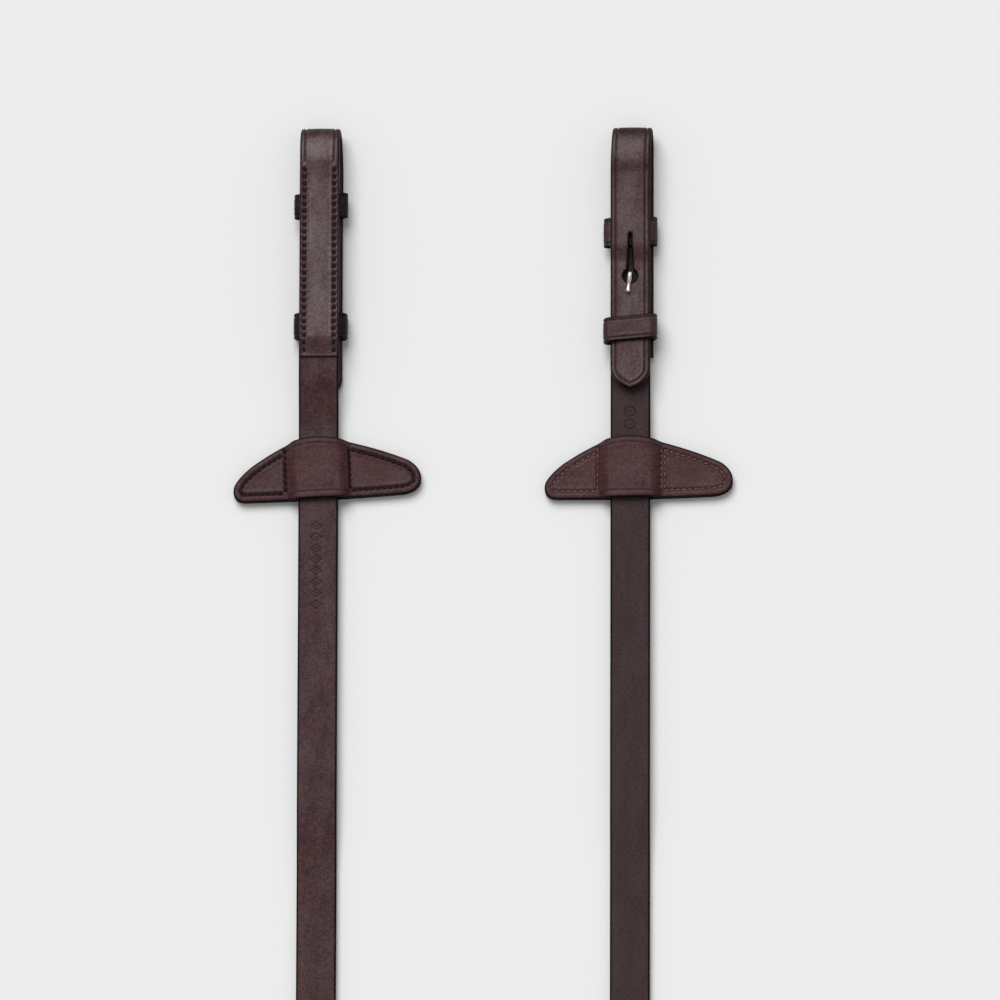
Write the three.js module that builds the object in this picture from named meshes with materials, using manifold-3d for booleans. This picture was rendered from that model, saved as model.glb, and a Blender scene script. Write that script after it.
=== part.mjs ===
// A pair of flat leather bridle reins: hook-stud bit ends, sliding rein stops and a centre buckle.
// Units are millimetres, +Z is up and the reins lie on z = 0 with their bit ends towards +Y.
// "along" values are distances from the bit end of a rein, measured down the strap.

import * as THREE from 'three';
import { mergeVertices } from 'three/addons/utils/BufferGeometryUtils.js';
import Module from 'manifold-3d';

const wasm = await Module();
wasm.setup();

// ---- driving dimensions -------------------------------------------------------------------

const GAP = 0.3;                       // clearance between touching pieces
const REIN_LENGTH = 1397;              // bit end to centre buckle, a 55 inch rein
const STRAIGHT = 368;                  // length of each rein that lies straight
const REIN_SPACING = 126;
const PAIR_SHIFT = -3.55;              // centres the uneven rein stops about x = 0

const STRAP = { width: 16, thick: 3.2 };
const BILLET = { width: 16, thick: 3.0 };
const STACK_HEIGHT = 12.1;             // sewn bit end, outer layer to keeper

const EYE = { gap: 6.0, stub: 12 };    // the eye that holds the bit ring
const SEWN = { from: 16.5, to: 94 };   // the strap is sewn to the outer layer between these
const TAB_END = 107;                   // tip of the free tab
const HOOK = { at: 60.2, wire: 0.85, ball: 1.0, reach: 6.6, plate: 4.0, plateThick: 0.8 };
const HOOK_X = 0;                      // hook, plate and keyhole sit on the strap's centre line
const SEAT = 0.1;                      // depth left over each plate and keeper foot in its recess
const KEYHOLE = { at: 60.7, radius: 2.8, slitFrom: 43, slitNarrow: 0.5, slitWide: 1.6 };

const KEEPER = { inner: 9.0, wall: 1.9, tuck: 4.5, foot: 1.2 };
const UPPER_KEEPER = { left: [28, 38], right: [36, 47], thick: 1.2 };
const LOWER_KEEPER = { left: [76, 86], right: [76.5, 86.5], thick: 2.0 };
const LAYER_SHIFT = { left: { outer: -0.2, tab: -1.4 }, right: { outer: 1.2, tab: 0 } };

const STOP = { at: 127, depth: 26, layer: 1.8, archHalf: 9.7, footHalf: 13.2, archRise: 3.9 };
const STOP_TILT = { left: 2, right: 0 };  // degrees a stop has turned on its strap
const LEVEL_Z = 2.1;                   // underside of the strap where a stop can slide
const LEVEL_END = 275;
const FLOOR_Z = 0.2;                   // underside of the strap where it lies on the floor

const COIL = { outer: 88, pitch: 7.4, lane: 3.7, turns: 1.25, lift: 1.3 };
const TWIST_END = -268;                // y where the straps stand on edge
const TURN_IN = 38;                    // bend that leads the left rein into the coil
const LEFT_END = { bend: 40, angle: 110, z: 11.6 };
const RIGHT_END = { radius: 68, easeAngle: 60, startAngle: 40 };
const TIE = { width: 12, thick: 1.0, angle: -45 };

const CHAPE = { thick: 2.2, leg: 36, strapStop: 10 };
const BUCKLE = { wire: 1.3, inner: 8.3, length: 15.5 };
const TONGUE = { eyeRadius: 2.6, eyeHole: 1.7, eyeHeight: 3.0, wire: 1.0 };
const POINT_HOLES = { radius: 1.6, count: 5, spacing: 12, fromTip: 24 };

// ---- placed values that follow from them --------------------------------------------------

const REIN_X = { left: -REIN_SPACING / 2 + PAIR_SHIFT, right: REIN_SPACING / 2 + PAIR_SHIFT };
const EDGE_Z = COIL.lift + STRAP.width / 2;
const OUTER_Z = BILLET.thick / 2;
const STRAP_Z = BILLET.thick + GAP + STRAP.thick / 2;
const TAB_Z = BILLET.thick + STRAP.thick + 2 * GAP + BILLET.thick / 2;
const EYE_Z = OUTER_Z + BILLET.thick + EYE.gap;
const OVER_KEEPER_Z = TAB_Z + UPPER_KEEPER.thick + GAP;
const COIL_X = REIN_X.right - COIL.outer;
const LEFT_LANE = COIL.outer - COIL.lane + COIL.pitch / 4;
const COIL_Y = TWIST_END - TURN_IN - LEFT_LANE;
const COIL_INNER = COIL.outer - COIL.lane - COIL.pitch * COIL.turns - STRAP.thick / 2 - 0.2;
const COIL_OUTER = COIL.outer + STRAP.thick / 2 + 0.2;

const yAt = (along) => STRAIGHT / 2 - along;
const smooth = (t) => t * t * (3 - 2 * t);
const radians = THREE.MathUtils.degToRad;

// ---- materials ----------------------------------------------------------------------------

const finish = (color, roughness, metalness = 0) =>
  new THREE.MeshStandardMaterial({ color, roughness, metalness });
const MATERIALS = {
  grain: finish(0x4b3334, 0.5),
  flesh: finish(0x413436, 0.8),
  keeper: finish(0x452c2d, 0.5),
  nickel: finish(0xc9c6c2, 0.2, 1),
  tie: finish(0x2c2222, 0.8),
};

// ---- solids and booleans ------------------------------------------------------------------

function solidOf(geometry) {
  const bare = geometry.clone();
  bare.deleteAttribute('normal');
  bare.deleteAttribute('uv');
  const merged = mergeVertices(bare, 1e-4);
  return new wasm.Manifold(new wasm.Mesh({
    numProp: 3,
    vertProperties: new Float32Array(merged.attributes.position.array),
    triVerts: new Uint32Array(merged.index.array),
  }));
}

function geometryOf(solid) {
  const mesh = solid.getMesh();
  const geometry = new THREE.BufferGeometry();
  geometry.setAttribute('position', new THREE.BufferAttribute(mesh.vertProperties, 3));
  geometry.setIndex(new THREE.BufferAttribute(mesh.triVerts, 1));
  geometry.computeVertexNormals();
  return geometry;
}

const AXES = {
  acrossX: [[0, 1, 0], [0, 0, 1], [1, 0, 0]],      // outline in (y, z), depth along +X
  acrossY: [[1, 0, 0], [0, 0, 1], [0, -1, 0]],     // outline in (x, z), depth along -Y
  upZ: [[1, 0, 0], [0, 1, 0], [0, 0, 1]],          // outline in (x, y), depth along +Z
};

function extrude(shape, depth, axes, start) {
  const geometry = new THREE.ExtrudeGeometry(shape, {
    depth, steps: 1, bevelEnabled: false, curveSegments: 8,
  });
  geometry.translate(0, 0, start);
  const [x, y, z] = axes.map((v) => new THREE.Vector3(...v));
  return geometry.applyMatrix4(new THREE.Matrix4().makeBasis(x, y, z));
}

function block(width, depth, height, x, y, z) {
  return solidOf(new THREE.BoxGeometry(width, depth, height).translate(x, y, z));
}

function upright(radius, height, x, y, z, sides = 24) {
  const drum = new THREE.CylinderGeometry(radius, radius, height, sides);
  return solidOf(drum.rotateX(Math.PI / 2).translate(x, y, z));
}

function named(name, geometry, material) {
  const mesh = new THREE.Mesh(geometry, material);
  mesh.name = name;
  return mesh;
}

// ---- ribbons: a centre line thickened to a closed outline ----------------------------------

function ribbonShape(line, thick) {
  const left = [];
  const right = [];
  line.forEach((point, i) => {
    const before = line[Math.max(i - 1, 0)];
    const after = line[Math.min(i + 1, line.length - 1)];
    const along = new THREE.Vector2().subVectors(after, before).normalize();
    const normal = new THREE.Vector2(-along.y, along.x).multiplyScalar(thick / 2);
    left.push(point.clone().add(normal));
    right.push(point.clone().sub(normal));
  });
  return new THREE.Shape([...left, ...right.reverse()]);
}

// Knots are [along, z]; the line eases from each level to the next.
function levels(knots, samples = 6) {
  const line = [new THREE.Vector2(yAt(knots[0][0]), knots[0][1])];
  for (let i = 1; i < knots.length; i += 1) {
    const [a0, z0] = knots[i - 1];
    const [a1, z1] = knots[i];
    const count = z0 === z1 ? 1 : samples;
    for (let k = 1; k <= count; k += 1) {
      const t = k / count;
      line.push(new THREE.Vector2(yAt(a0 + (a1 - a0) * t), z0 + (z1 - z0) * smooth(t)));
    }
  }
  return line;
}

function strapPiece(line, thick, width, x) {
  return solidOf(extrude(ribbonShape(line, thick), width, AXES.acrossX, x - width / 2));
}

// ---- bit end, built with the hook side up --------------------------------------------------

// Outer layer, sewn under the strap, which folds round the eye and meets the free tab.
function billetOuter(side) {
  const radius = (EYE_Z - OUTER_Z) / 2;
  const centre = radius + BILLET.thick / 2;
  const line = [new THREE.Vector2(yAt(SEWN.to), OUTER_Z)];
  const bends = 12;
  for (let i = 0; i <= bends; i += 1) {
    const a = -Math.PI / 2 + (Math.PI * i) / bends;
    line.push(new THREE.Vector2(
      yAt(centre) + radius * Math.cos(a), OUTER_Z + radius + radius * Math.sin(a)));
  }
  line.push(new THREE.Vector2(yAt(EYE.stub), EYE_Z));
  return strapPiece(line, BILLET.thick, BILLET.width, LAYER_SHIFT[side].outer);
}

// Pointed end, as a plan outline that is kept when a strap is intersected with it.
function pointedPlan(tipAlong, width, x, length) {
  const half = width / 2;
  const shape = new THREE.Shape();
  shape.moveTo(x - half, yAt(0));
  shape.lineTo(x - half, yAt(tipAlong - 8));
  shape.quadraticCurveTo(x - half + 0.8, yAt(tipAlong - 2.4), x, yAt(tipAlong));
  shape.quadraticCurveTo(x + half - 0.8, yAt(tipAlong - 2.4), x + half, yAt(tipAlong - 8));
  shape.lineTo(x + half, yAt(0));
  return solidOf(extrude(shape, length, AXES.upZ, -length / 2));
}

function keyhole(x) {
  const slit = new THREE.Shape();
  slit.moveTo(x - KEYHOLE.slitNarrow, yAt(KEYHOLE.slitFrom));
  slit.lineTo(x + KEYHOLE.slitNarrow, yAt(KEYHOLE.slitFrom));
  slit.lineTo(x + KEYHOLE.slitWide, yAt(KEYHOLE.at));
  slit.lineTo(x - KEYHOLE.slitWide, yAt(KEYHOLE.at));
  const cut = solidOf(extrude(slit, STACK_HEIGHT * 2, AXES.upZ, 0));
  return cut.add(upright(KEYHOLE.radius, STACK_HEIGHT * 2, x, yAt(KEYHOLE.at), STACK_HEIGHT));
}

// Free tab: passes over the flattened upper keeper, takes the hook and ends past the lower keeper.
function billetTab(side) {
  const [keeperStart, keeperEnd] = UPPER_KEEPER[side];
  const dropEnd = keeperEnd + 6.5;
  const tip = TAB_Z + (side === 'left' ? 2.2 : 0);
  const line = levels([
    [EYE.stub + GAP, EYE_Z], [keeperStart - 2, OVER_KEEPER_Z], [keeperEnd, OVER_KEEPER_Z],
    [dropEnd, TAB_Z], [90, TAB_Z], [104, tip], [TAB_END, tip],
  ]);
  const x = LAYER_SHIFT[side].tab;
  return strapPiece(line, BILLET.thick, BILLET.width, x)
    .intersect(pointedPlan(TAB_END, BILLET.width, x, 60))
    .subtract(keyhole(HOOK_X));
}

// Hook stud: a plate sewn under the strap, a shank through strap and tab, and a ball-ended hook.
function hookStud() {
  const y = yAt(HOOK.at);
  const plateZ = BILLET.thick + GAP + SEAT + HOOK.plateThick / 2;
  const top = TAB_Z + BILLET.thick / 2 + GAP + HOOK.wire;
  const path = new THREE.CatmullRomCurve3([
    [0, plateZ], [0, plateZ + 3], [0, top - 1.4], [0.45, top - 0.4], [1.5, top],
    [HOOK.reach / 2, top], [HOOK.reach, top],
  ].map(([ahead, z]) => new THREE.Vector3(HOOK_X, y - ahead, z)));
  const circle = new THREE.Shape().absarc(0, 0, HOOK.wire, 0, 2 * Math.PI);
  const wire = solidOf(new THREE.ExtrudeGeometry(circle, {
    steps: 26, extrudePath: path, bevelEnabled: false, curveSegments: 5,
  }));
  const ball = new THREE.SphereGeometry(HOOK.ball, 14, 10);
  return upright(HOOK.plate, HOOK.plateThick, HOOK_X, y, plateZ)
    .add(wire)
    .add(solidOf(ball.translate(HOOK_X, y - HOOK.reach, top)));
}

// Keeper: a band round the hook side whose ends are tucked and sewn under the strap's edges.
function keeperShape(innerTop, thick, x) {
  const foot = BILLET.thick + GAP + SEAT;
  const outer = KEEPER.inner + KEEPER.wall;
  const round = Math.min(thick, KEEPER.wall) * 0.8;
  const half = [
    [KEEPER.inner, innerTop], [KEEPER.inner, foot + KEEPER.foot], [KEEPER.tuck, foot + KEEPER.foot],
    [KEEPER.tuck, foot], [outer - 1.2, foot], [outer, foot + 1.2],
    [outer, innerTop + thick - round], [outer - round, innerTop + thick],
  ];
  const mirrored = half.map(([px, pz]) => [-px, pz]).reverse();
  return new THREE.Shape([...half, ...mirrored].map(([px, pz]) => new THREE.Vector2(x + px, pz)));
}

function keeper([from, to], innerTop, thick, x) {
  return extrude(keeperShape(innerTop, thick, x), to - from, AXES.acrossY, -yAt(from));
}

// Recesses in the strap's underside that take the keepers' feet and the hook's plate.
function strapRecesses(side) {
  const depth = KEEPER.foot + SEAT + GAP;
  const base = BILLET.thick + GAP;
  const height = 2 * depth;
  let cut = upright(HOOK.plate + GAP, 2 * (HOOK.plateThick + SEAT + GAP), HOOK_X, yAt(HOOK.at), base)
    .add(upright(HOOK.wire + 0.35, 4 * STRAP.thick, HOOK_X, yAt(HOOK.at), base));
  for (const [from, to] of [UPPER_KEEPER[side], LOWER_KEEPER[side]]) {
    for (const hand of [-1, 1]) {
      const inner = KEEPER.tuck - GAP - 0.7;
      const outer = STRAP.width / 2 + 1;
      const x = hand * (inner + outer) / 2;
      cut = cut.add(block(outer - inner, to - from + 2 * GAP, height, x, yAt((from + to) / 2), base));
    }
  }
  return cut;
}

// Main strap, from the eye to where it leaves the straight stretch.
function reinStrap(side) {
  const level = LEVEL_Z + STRAP.thick / 2;
  const floor = FLOOR_Z + STRAP.thick / 2;
  const up = side === 'left' ? (z) => STACK_HEIGHT - z : (z) => z;
  const drop = side === 'left' ? [100, 124] : [94, 112];
  const line = levels([
    [SEWN.from, STRAP_Z], [drop[0], STRAP_Z], [drop[1], up(level)], [LEVEL_END, up(level)],
    [LEVEL_END + 30, up(floor)], [STRAIGHT, up(floor)],
  ]);
  return strapPiece(line, STRAP.thick, STRAP.width, 0).subtract(strapRecesses(side));
}

function bitEnd(side) {
  const group = new THREE.Group();
  const keeperX = LAYER_SHIFT[side].tab / 2;
  const strapTop = STRAP_Z + STRAP.thick / 2 + GAP;
  const tabTop = TAB_Z + BILLET.thick / 2 + GAP;
  const upper = keeper(UPPER_KEEPER[side], strapTop, UPPER_KEEPER.thick, keeperX);
  const lower = keeper(LOWER_KEEPER[side], tabTop, LOWER_KEEPER.thick, keeperX);
  group.add(
    named(`${side}_billet_outer`, geometryOf(billetOuter(side)), MATERIALS.grain),
    named(`${side}_billet_tab`, geometryOf(billetTab(side)), MATERIALS.grain),
    named(`${side}_rein_strap`, geometryOf(reinStrap(side)), MATERIALS.grain),
    named(`${side}_hook_stud`, geometryOf(hookStud()), MATERIALS.nickel),
    named(`${side}_upper_keeper`, upper, MATERIALS.keeper),
    named(`${side}_lower_keeper`, lower, MATERIALS.keeper),
  );
  if (side === 'left') {
    group.rotation.y = Math.PI;
    group.position.z = STACK_HEIGHT;
  }
  return group;
}

// ---- rein stop ------------------------------------------------------------------------------

// Wing outline; the origin is on the strap's centre line at the edge nearer the bit.
function stopPlan() {
  const shape = new THREE.Shape();
  shape.moveTo(-10, 0);
  shape.lineTo(8, 0);
  shape.quadraticCurveTo(26, -4.5, 36.5, -10);
  shape.quadraticCurveTo(42.6, -14, 41, -19.5);
  shape.quadraticCurveTo(39.5, -23.8, 34, -24.6);
  shape.quadraticCurveTo(10, -26.2, -30, -STOP.depth);
  shape.quadraticCurveTo(-35.5, -25.6, -34.4, -19.5);
  shape.quadraticCurveTo(-33.4, -15.5, -27, -10.5);
  shape.closePath();
  return solidOf(extrude(shape, 24, AXES.upZ, -12));
}

function stopBack() {
  return block(100, 80, STOP.layer, 0, 0, STOP.layer / 2).intersect(stopPlan());
}

function stopFront() {
  const wing = STOP.layer + GAP + STOP.layer / 2;
  const ramp = [];
  for (let i = 0; i <= 6; i += 1) {
    const t = i / 6;
    const x = STOP.footHalf + (STOP.archHalf - STOP.footHalf) * t;
    ramp.push([x, wing + STOP.archRise * smooth(t)]);
  }
  const line = [[50, wing], ...ramp, ...ramp.map(([x, z]) => [-x, z]).reverse(), [-50, wing]];
  const shape = ribbonShape(line.map(([x, z]) => new THREE.Vector2(x, z)), STOP.layer);
  return solidOf(extrude(shape, 80, AXES.acrossY, -40)).intersect(stopPlan());
}

function reinStop(side) {
  const group = new THREE.Group();
  const middle = STOP.depth / 2;
  const centred = (solid) => geometryOf(solid.translate([0, middle, 0]));
  group.add(
    named(`${side}_stop_back`, centred(stopBack()), MATERIALS.grain),
    named(`${side}_stop_front`, centred(stopFront()), MATERIALS.grain),
  );
  group.position.y = yAt(STOP.at + middle);
  group.rotation.z = radians(STOP_TILT[side]);
  return group;
}

// ---- free straps: a rounded flat section carried along a route ------------------------------

// Each route point is [x, y, z, roll]; roll turns the strap from flat, 0, to on edge, 90 degrees.
class StrapRoute extends THREE.CatmullRomCurve3 {
  constructor(route) {
    super(route.map(([x, y, z]) => new THREE.Vector3(x, y, z)));
    this.rolls = route.map((p) => p[3]);
  }

  computeFrenetFrames(segments) {
    const frames = { tangents: [], normals: [], binormals: [] };
    const up = new THREE.Vector3(0, 0, 1);
    for (let i = 0; i <= segments; i += 1) {
      const u = i / segments;
      const at = this.getUtoTmapping(u) * (this.rolls.length - 1);
      const k = Math.min(Math.floor(at), this.rolls.length - 2);
      const roll = this.rolls[k] + (this.rolls[k + 1] - this.rolls[k]) * (at - k);
      const tangent = this.getTangentAt(u);
      const side = new THREE.Vector3().crossVectors(tangent, up).normalize();
      side.applyAxisAngle(tangent, radians(roll));
      frames.tangents.push(tangent);
      frames.normals.push(side);
      frames.binormals.push(new THREE.Vector3().crossVectors(tangent, side).normalize());
    }
    return frames;
  }
}

function strapSection() {
  const w = STRAP.width / 2;
  const t = STRAP.thick / 2;
  const cut = 0.7;
  const corners = [
    [w, t - cut], [w - cut, t], [cut - w, t], [-w, t - cut],
    [-w, cut - t], [cut - w, -t], [w - cut, -t], [w, cut - t],
  ];
  return new THREE.Shape(corners.map(([x, y]) => new THREE.Vector2(x, y)));
}

function freeStrap(route, steps) {
  return new THREE.ExtrudeGeometry(strapSection(), {
    steps, extrudePath: new StrapRoute(route), bevelEnabled: false,
  });
}

// From flat to on edge: [y, z, roll].
const TWIST = [
  [-184.3, 1.8, 0], [-194, 1.9, 2], [-206, 3.6, 13], [-218, 5.9, 32], [-230, 7.9, 54],
  [-242, 8.9, 73], [-254, 9.25, 86], [TWIST_END, EDGE_Z, 90],
];
const RIGHT_RUN = [-284, -304, -326, -348, -365.5];
const LEFT_BEND = [8, 20, 32, 44, 56, 65];      // degrees round the bend into the coil

function rightTail() {
  const route = TWIST.map(([y, z, roll]) => [REIN_X.right, y, z, roll]);
  RIGHT_RUN.forEach((y) => route.push([REIN_X.right, y, EDGE_Z, 90]));
  return freeStrap(route, 24);
}

function leftTail() {
  const route = TWIST.map(([y, z, roll]) => [REIN_X.left, y, z, roll]);
  LEFT_BEND.forEach((degrees) => {
    const a = radians(degrees);
    const x = REIN_X.left + TURN_IN * (1 - Math.cos(a));
    route.push([x, TWIST_END - TURN_IN * Math.sin(a), EDGE_Z, 90]);
  });
  return freeStrap(route, 26);
}

// ---- coil, tie and the reins' inner ends -----------------------------------------------------

function coilRing() {
  const top = COIL.lift + STRAP.width;
  const profile = [
    [COIL_INNER, COIL.lift], [COIL_OUTER, COIL.lift], [COIL_OUTER, top],
    [COIL_INNER, top], [COIL_INNER, COIL.lift],
  ].map(([r, z]) => new THREE.Vector2(r, z));
  return new THREE.LatheGeometry(profile, 72).rotateX(Math.PI / 2);
}

function coilTie() {
  const slack = GAP + 0.3;
  const from = COIL_INNER - slack - TIE.thick;
  const to = COIL_OUTER + GAP + TIE.thick;
  const band = new THREE.Shape();
  band.moveTo(from, 0);
  band.lineTo(to, 0);
  band.lineTo(to, COIL.lift + STRAP.width + GAP + TIE.thick);
  band.lineTo(from, COIL.lift + STRAP.width + GAP + TIE.thick);
  const hole = new THREE.Path();
  hole.moveTo(from + TIE.thick, TIE.thick);
  hole.lineTo(from + TIE.thick, COIL.lift + STRAP.width + GAP);
  hole.lineTo(to - TIE.thick, COIL.lift + STRAP.width + GAP);
  hole.lineTo(to - TIE.thick, TIE.thick);
  band.holes.push(hole);
  return extrude(band, TIE.width, AXES.acrossY, -TIE.width / 2);
}

// Angles are measured clockwise from the coil's lowest point, where the inner ends leave it.
function leftEndPoint(degrees) {
  const a = radians(degrees);
  const lane = COIL.outer - COIL.lane - COIL.pitch * COIL.turns;
  const centreY = -lane + LEFT_END.bend;
  return [-LEFT_END.bend * Math.sin(a), centreY - LEFT_END.bend * Math.cos(a)];
}

function leftCoilEnd() {
  const route = [];
  const rise = LEFT_END.z - EDGE_Z;
  for (let degrees = 38; degrees <= LEFT_END.angle; degrees += 9) {
    const [x, y] = leftEndPoint(degrees);
    const t = (degrees - 38) / (LEFT_END.angle - 38);
    route.push([x, y, EDGE_Z + rise * smooth(t), 90]);
  }
  const [x, y] = leftEndPoint(LEFT_END.angle);
  const a = radians(LEFT_END.angle);
  for (const ahead of [12, 24, BAR_AT - CHAPE.strapStop]) {
    route.push([x - ahead * Math.cos(a), y + ahead * Math.sin(a), LEFT_END.z, 90]);
  }
  return freeStrap(route, 24);
}

// Length of left rein used up at the start of its straight inner end, by adding its stretches.
function leftLengthBeforeEnd() {
  const straight = yAt(0) - TWIST_END;
  const turnIn = TURN_IN * Math.PI / 2;
  const joined = Math.PI / 2 * (LEFT_LANE + COIL.outer - COIL.lane) / 2;
  const start = COIL.outer - COIL.lane;
  const turns = 2 * Math.PI * COIL.turns * (start - COIL.pitch * COIL.turns / 2);
  return straight + turnIn + joined + turns + LEFT_END.bend * radians(LEFT_END.angle);
}

const BAR_AT = REIN_LENGTH - leftLengthBeforeEnd();

function rightEndRadius(degrees) {
  const lane = COIL.outer - COIL.pitch * COIL.turns;
  const t = Math.min(degrees / RIGHT_END.easeAngle, 1);
  return lane + (RIGHT_END.radius - lane) * smooth(t);
}

function rightEndAngle() {
  const start = COIL.outer;
  const turns = 2 * Math.PI * COIL.turns * (start - COIL.pitch * COIL.turns / 2);
  let left = REIN_LENGTH - (yAt(0) - COIL_Y) - turns;
  let degrees = 0;
  while (left > 0) {
    left -= rightEndRadius(degrees) * radians(1);
    degrees += 1;
  }
  return degrees;
}

// The right rein's last stretch, rounded to a point and punched for the buckle's tongue.
function rightEndPoint() {
  const last = rightEndAngle();
  const from = RIGHT_END.startAngle;
  const at = (degrees, radius) => {
    const a = radians(degrees);
    return [-radius * Math.sin(a), -radius * Math.cos(a)];
  };
  const route = [];
  const count = 16;
  for (let i = 0; i <= count; i += 1) {
    const degrees = from + (last - from) * i / count;
    const [x, y] = at(degrees, rightEndRadius(degrees));
    route.push([x, y, EDGE_Z, 90]);
  }
  let solid = solidOf(freeStrap(route, 24));
  const mm = 180 / (Math.PI * RIGHT_END.radius);
  const across = (degrees, cutter) => {
    const [x, y] = at(degrees, RIGHT_END.radius);
    return cutter.rotate([0, 0, -degrees]).translate([x, y, EDGE_Z]);
  };
  for (let i = 0; i < POINT_HOLES.count; i += 1) {
    const back = POINT_HOLES.fromTip + i * POINT_HOLES.spacing;
    const punch = new THREE.CylinderGeometry(POINT_HOLES.radius, POINT_HOLES.radius, 12, 12);
    solid = solid.subtract(across(last - back * mm, solidOf(punch)));
  }
  const taper = pointWedge();
  for (const turn of [0, 180]) {
    solid = solid.subtract(across(last, taper.rotate([turn, 0, 0])));
  }
  return solid;
}

// Waste beside one edge of the point, in a frame with the strap's end at its origin.
function pointWedge() {
  const half = STRAP.width / 2;
  const outline = [[2, 0.5], [-1.5, 2.5], [-9, half + 0.1], [-9, half + 4], [4, half + 4], [4, 0.5]];
  const shape = new THREE.Shape(outline.map(([x, z]) => new THREE.Vector2(x, z)));
  return solidOf(extrude(shape, 16, AXES.acrossY, -8));
}

// ---- centre buckle, built with the strap along +X and its width along Z ----------------------

function chape() {
  const radius = STRAP.thick / 2 + GAP + CHAPE.thick / 2;
  const line = [new THREE.Vector2(BAR_AT - CHAPE.leg, radius)];
  for (let i = 0; i <= 10; i += 1) {
    const a = Math.PI / 2 - Math.PI * i / 10;
    line.push(new THREE.Vector2(BAR_AT + radius * Math.cos(a), radius * Math.sin(a)));
  }
  line.push(new THREE.Vector2(BAR_AT - CHAPE.leg, -radius));
  const z = -STRAP.width / 2;
  const fold = solidOf(extrude(ribbonShape(line, CHAPE.thick), STRAP.width, AXES.upZ, z));
  const slot = TONGUE.eyeHeight + 2 * GAP;
  return fold.subtract(block(12, 14, slot, BAR_AT + 2, 0, 0));
}

function endKeeper() {
  const halfY = STRAP.thick / 2 + 2 * GAP + CHAPE.thick;
  const halfZ = STRAP.width / 2 + GAP;
  const wall = 1.6;
  const x = BAR_AT - 17;
  const outer = block(9, 2 * (halfY + wall), 2 * (halfZ + wall), x, 0, 0);
  return outer.subtract(block(20, 2 * halfY, 2 * halfZ, x, 0, 0));
}

function rod(from, to, radius, sides = 14) {
  const a = new THREE.Vector3(...from);
  const b = new THREE.Vector3(...to);
  const geometry = new THREE.CylinderGeometry(radius, radius, a.distanceTo(b), sides);
  const along = new THREE.Vector3().subVectors(b, a).normalize();
  const turn = new THREE.Quaternion().setFromUnitVectors(new THREE.Vector3(0, 1, 0), along);
  geometry.applyQuaternion(turn).translate(...a.add(b).multiplyScalar(0.5).toArray());
  return solidOf(geometry);
}

function buckleFrame() {
  const half = BUCKLE.inner + BUCKLE.wire;
  const far = BAR_AT + BUCKLE.length;
  const corners = [[BAR_AT, 0, -half], [BAR_AT, 0, half], [far, 0, half], [far, 0, -half]];
  let frame = null;
  corners.forEach((corner, i) => {
    const side = rod(corner, corners[(i + 1) % 4], BUCKLE.wire);
    const knuckle = solidOf(new THREE.SphereGeometry(BUCKLE.wire, 14, 10).translate(...corner));
    frame = frame ? frame.add(side).add(knuckle) : side.add(knuckle);
  });
  return frame;
}

function buckleTongue() {
  const over = BUCKLE.wire + TONGUE.wire + GAP;
  const far = BAR_AT + BUCKLE.length;
  const start = (TONGUE.eyeRadius + TONGUE.eyeHole) / 2;
  return upright(TONGUE.eyeRadius, TONGUE.eyeHeight, BAR_AT, 0, 0)
    .add(rod([BAR_AT + start, -0.4, 0], [far + 1.2, -over - 0.2, 0], TONGUE.wire))
    .subtract(upright(TONGUE.eyeHole, TONGUE.eyeHeight * 2, BAR_AT, 0, 0));
}

function centreBuckle() {
  const group = new THREE.Group();
  const [x, y] = leftEndPoint(LEFT_END.angle);
  group.position.set(x, y, LEFT_END.z);
  group.rotation.z = radians(180 - LEFT_END.angle);
  group.add(
    named('left_end_chape', geometryOf(chape()), MATERIALS.grain),
    named('left_end_keeper', geometryOf(endKeeper()), MATERIALS.keeper),
    named('buckle_frame', geometryOf(buckleFrame()), MATERIALS.nickel),
    named('buckle_tongue', geometryOf(buckleTongue()), MATERIALS.nickel),
  );
  return group;
}

function coil() {
  const group = new THREE.Group();
  group.position.set(COIL_X, COIL_Y, 0);
  const tie = named('coil_tie', coilTie(), MATERIALS.tie);
  tie.rotation.z = radians(TIE.angle);
  group.add(
    named('rein_coil', coilRing(), MATERIALS.flesh),
    tie,
    named('left_coil_end', leftCoilEnd(), MATERIALS.flesh),
    named('right_end_point', geometryOf(rightEndPoint()), MATERIALS.grain),
    centreBuckle(),
  );
  return group;
}

// ---- the pair of reins -----------------------------------------------------------------------

const reins = new THREE.Group();
for (const side of ['left', 'right']) {
  const rein = new THREE.Group();
  rein.position.x = REIN_X[side];
  rein.add(bitEnd(side), reinStop(side));
  reins.add(rein);
}
reins.add(
  named('left_rein_tail', leftTail(), MATERIALS.grain),
  named('right_rein_tail', rightTail(), MATERIALS.grain),
  coil(),
);

export default reins;
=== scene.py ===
"""Looks for a pair of flat leather bridle reins, one lying grain side up and one flesh side up.

Sizes are in millimetres and turned into metres when a mesh is made. "along" is the distance from a
rein's bit end, down its strap. Every leather piece has three coordinates of its own: s along it, u
across it and h above its middle, with +h towards the grain side.
"""

import math

import bpy
import numpy as np
from mathutils import Matrix, Vector
from mathutils.geometry import delaunay_2d_cdt


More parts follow.
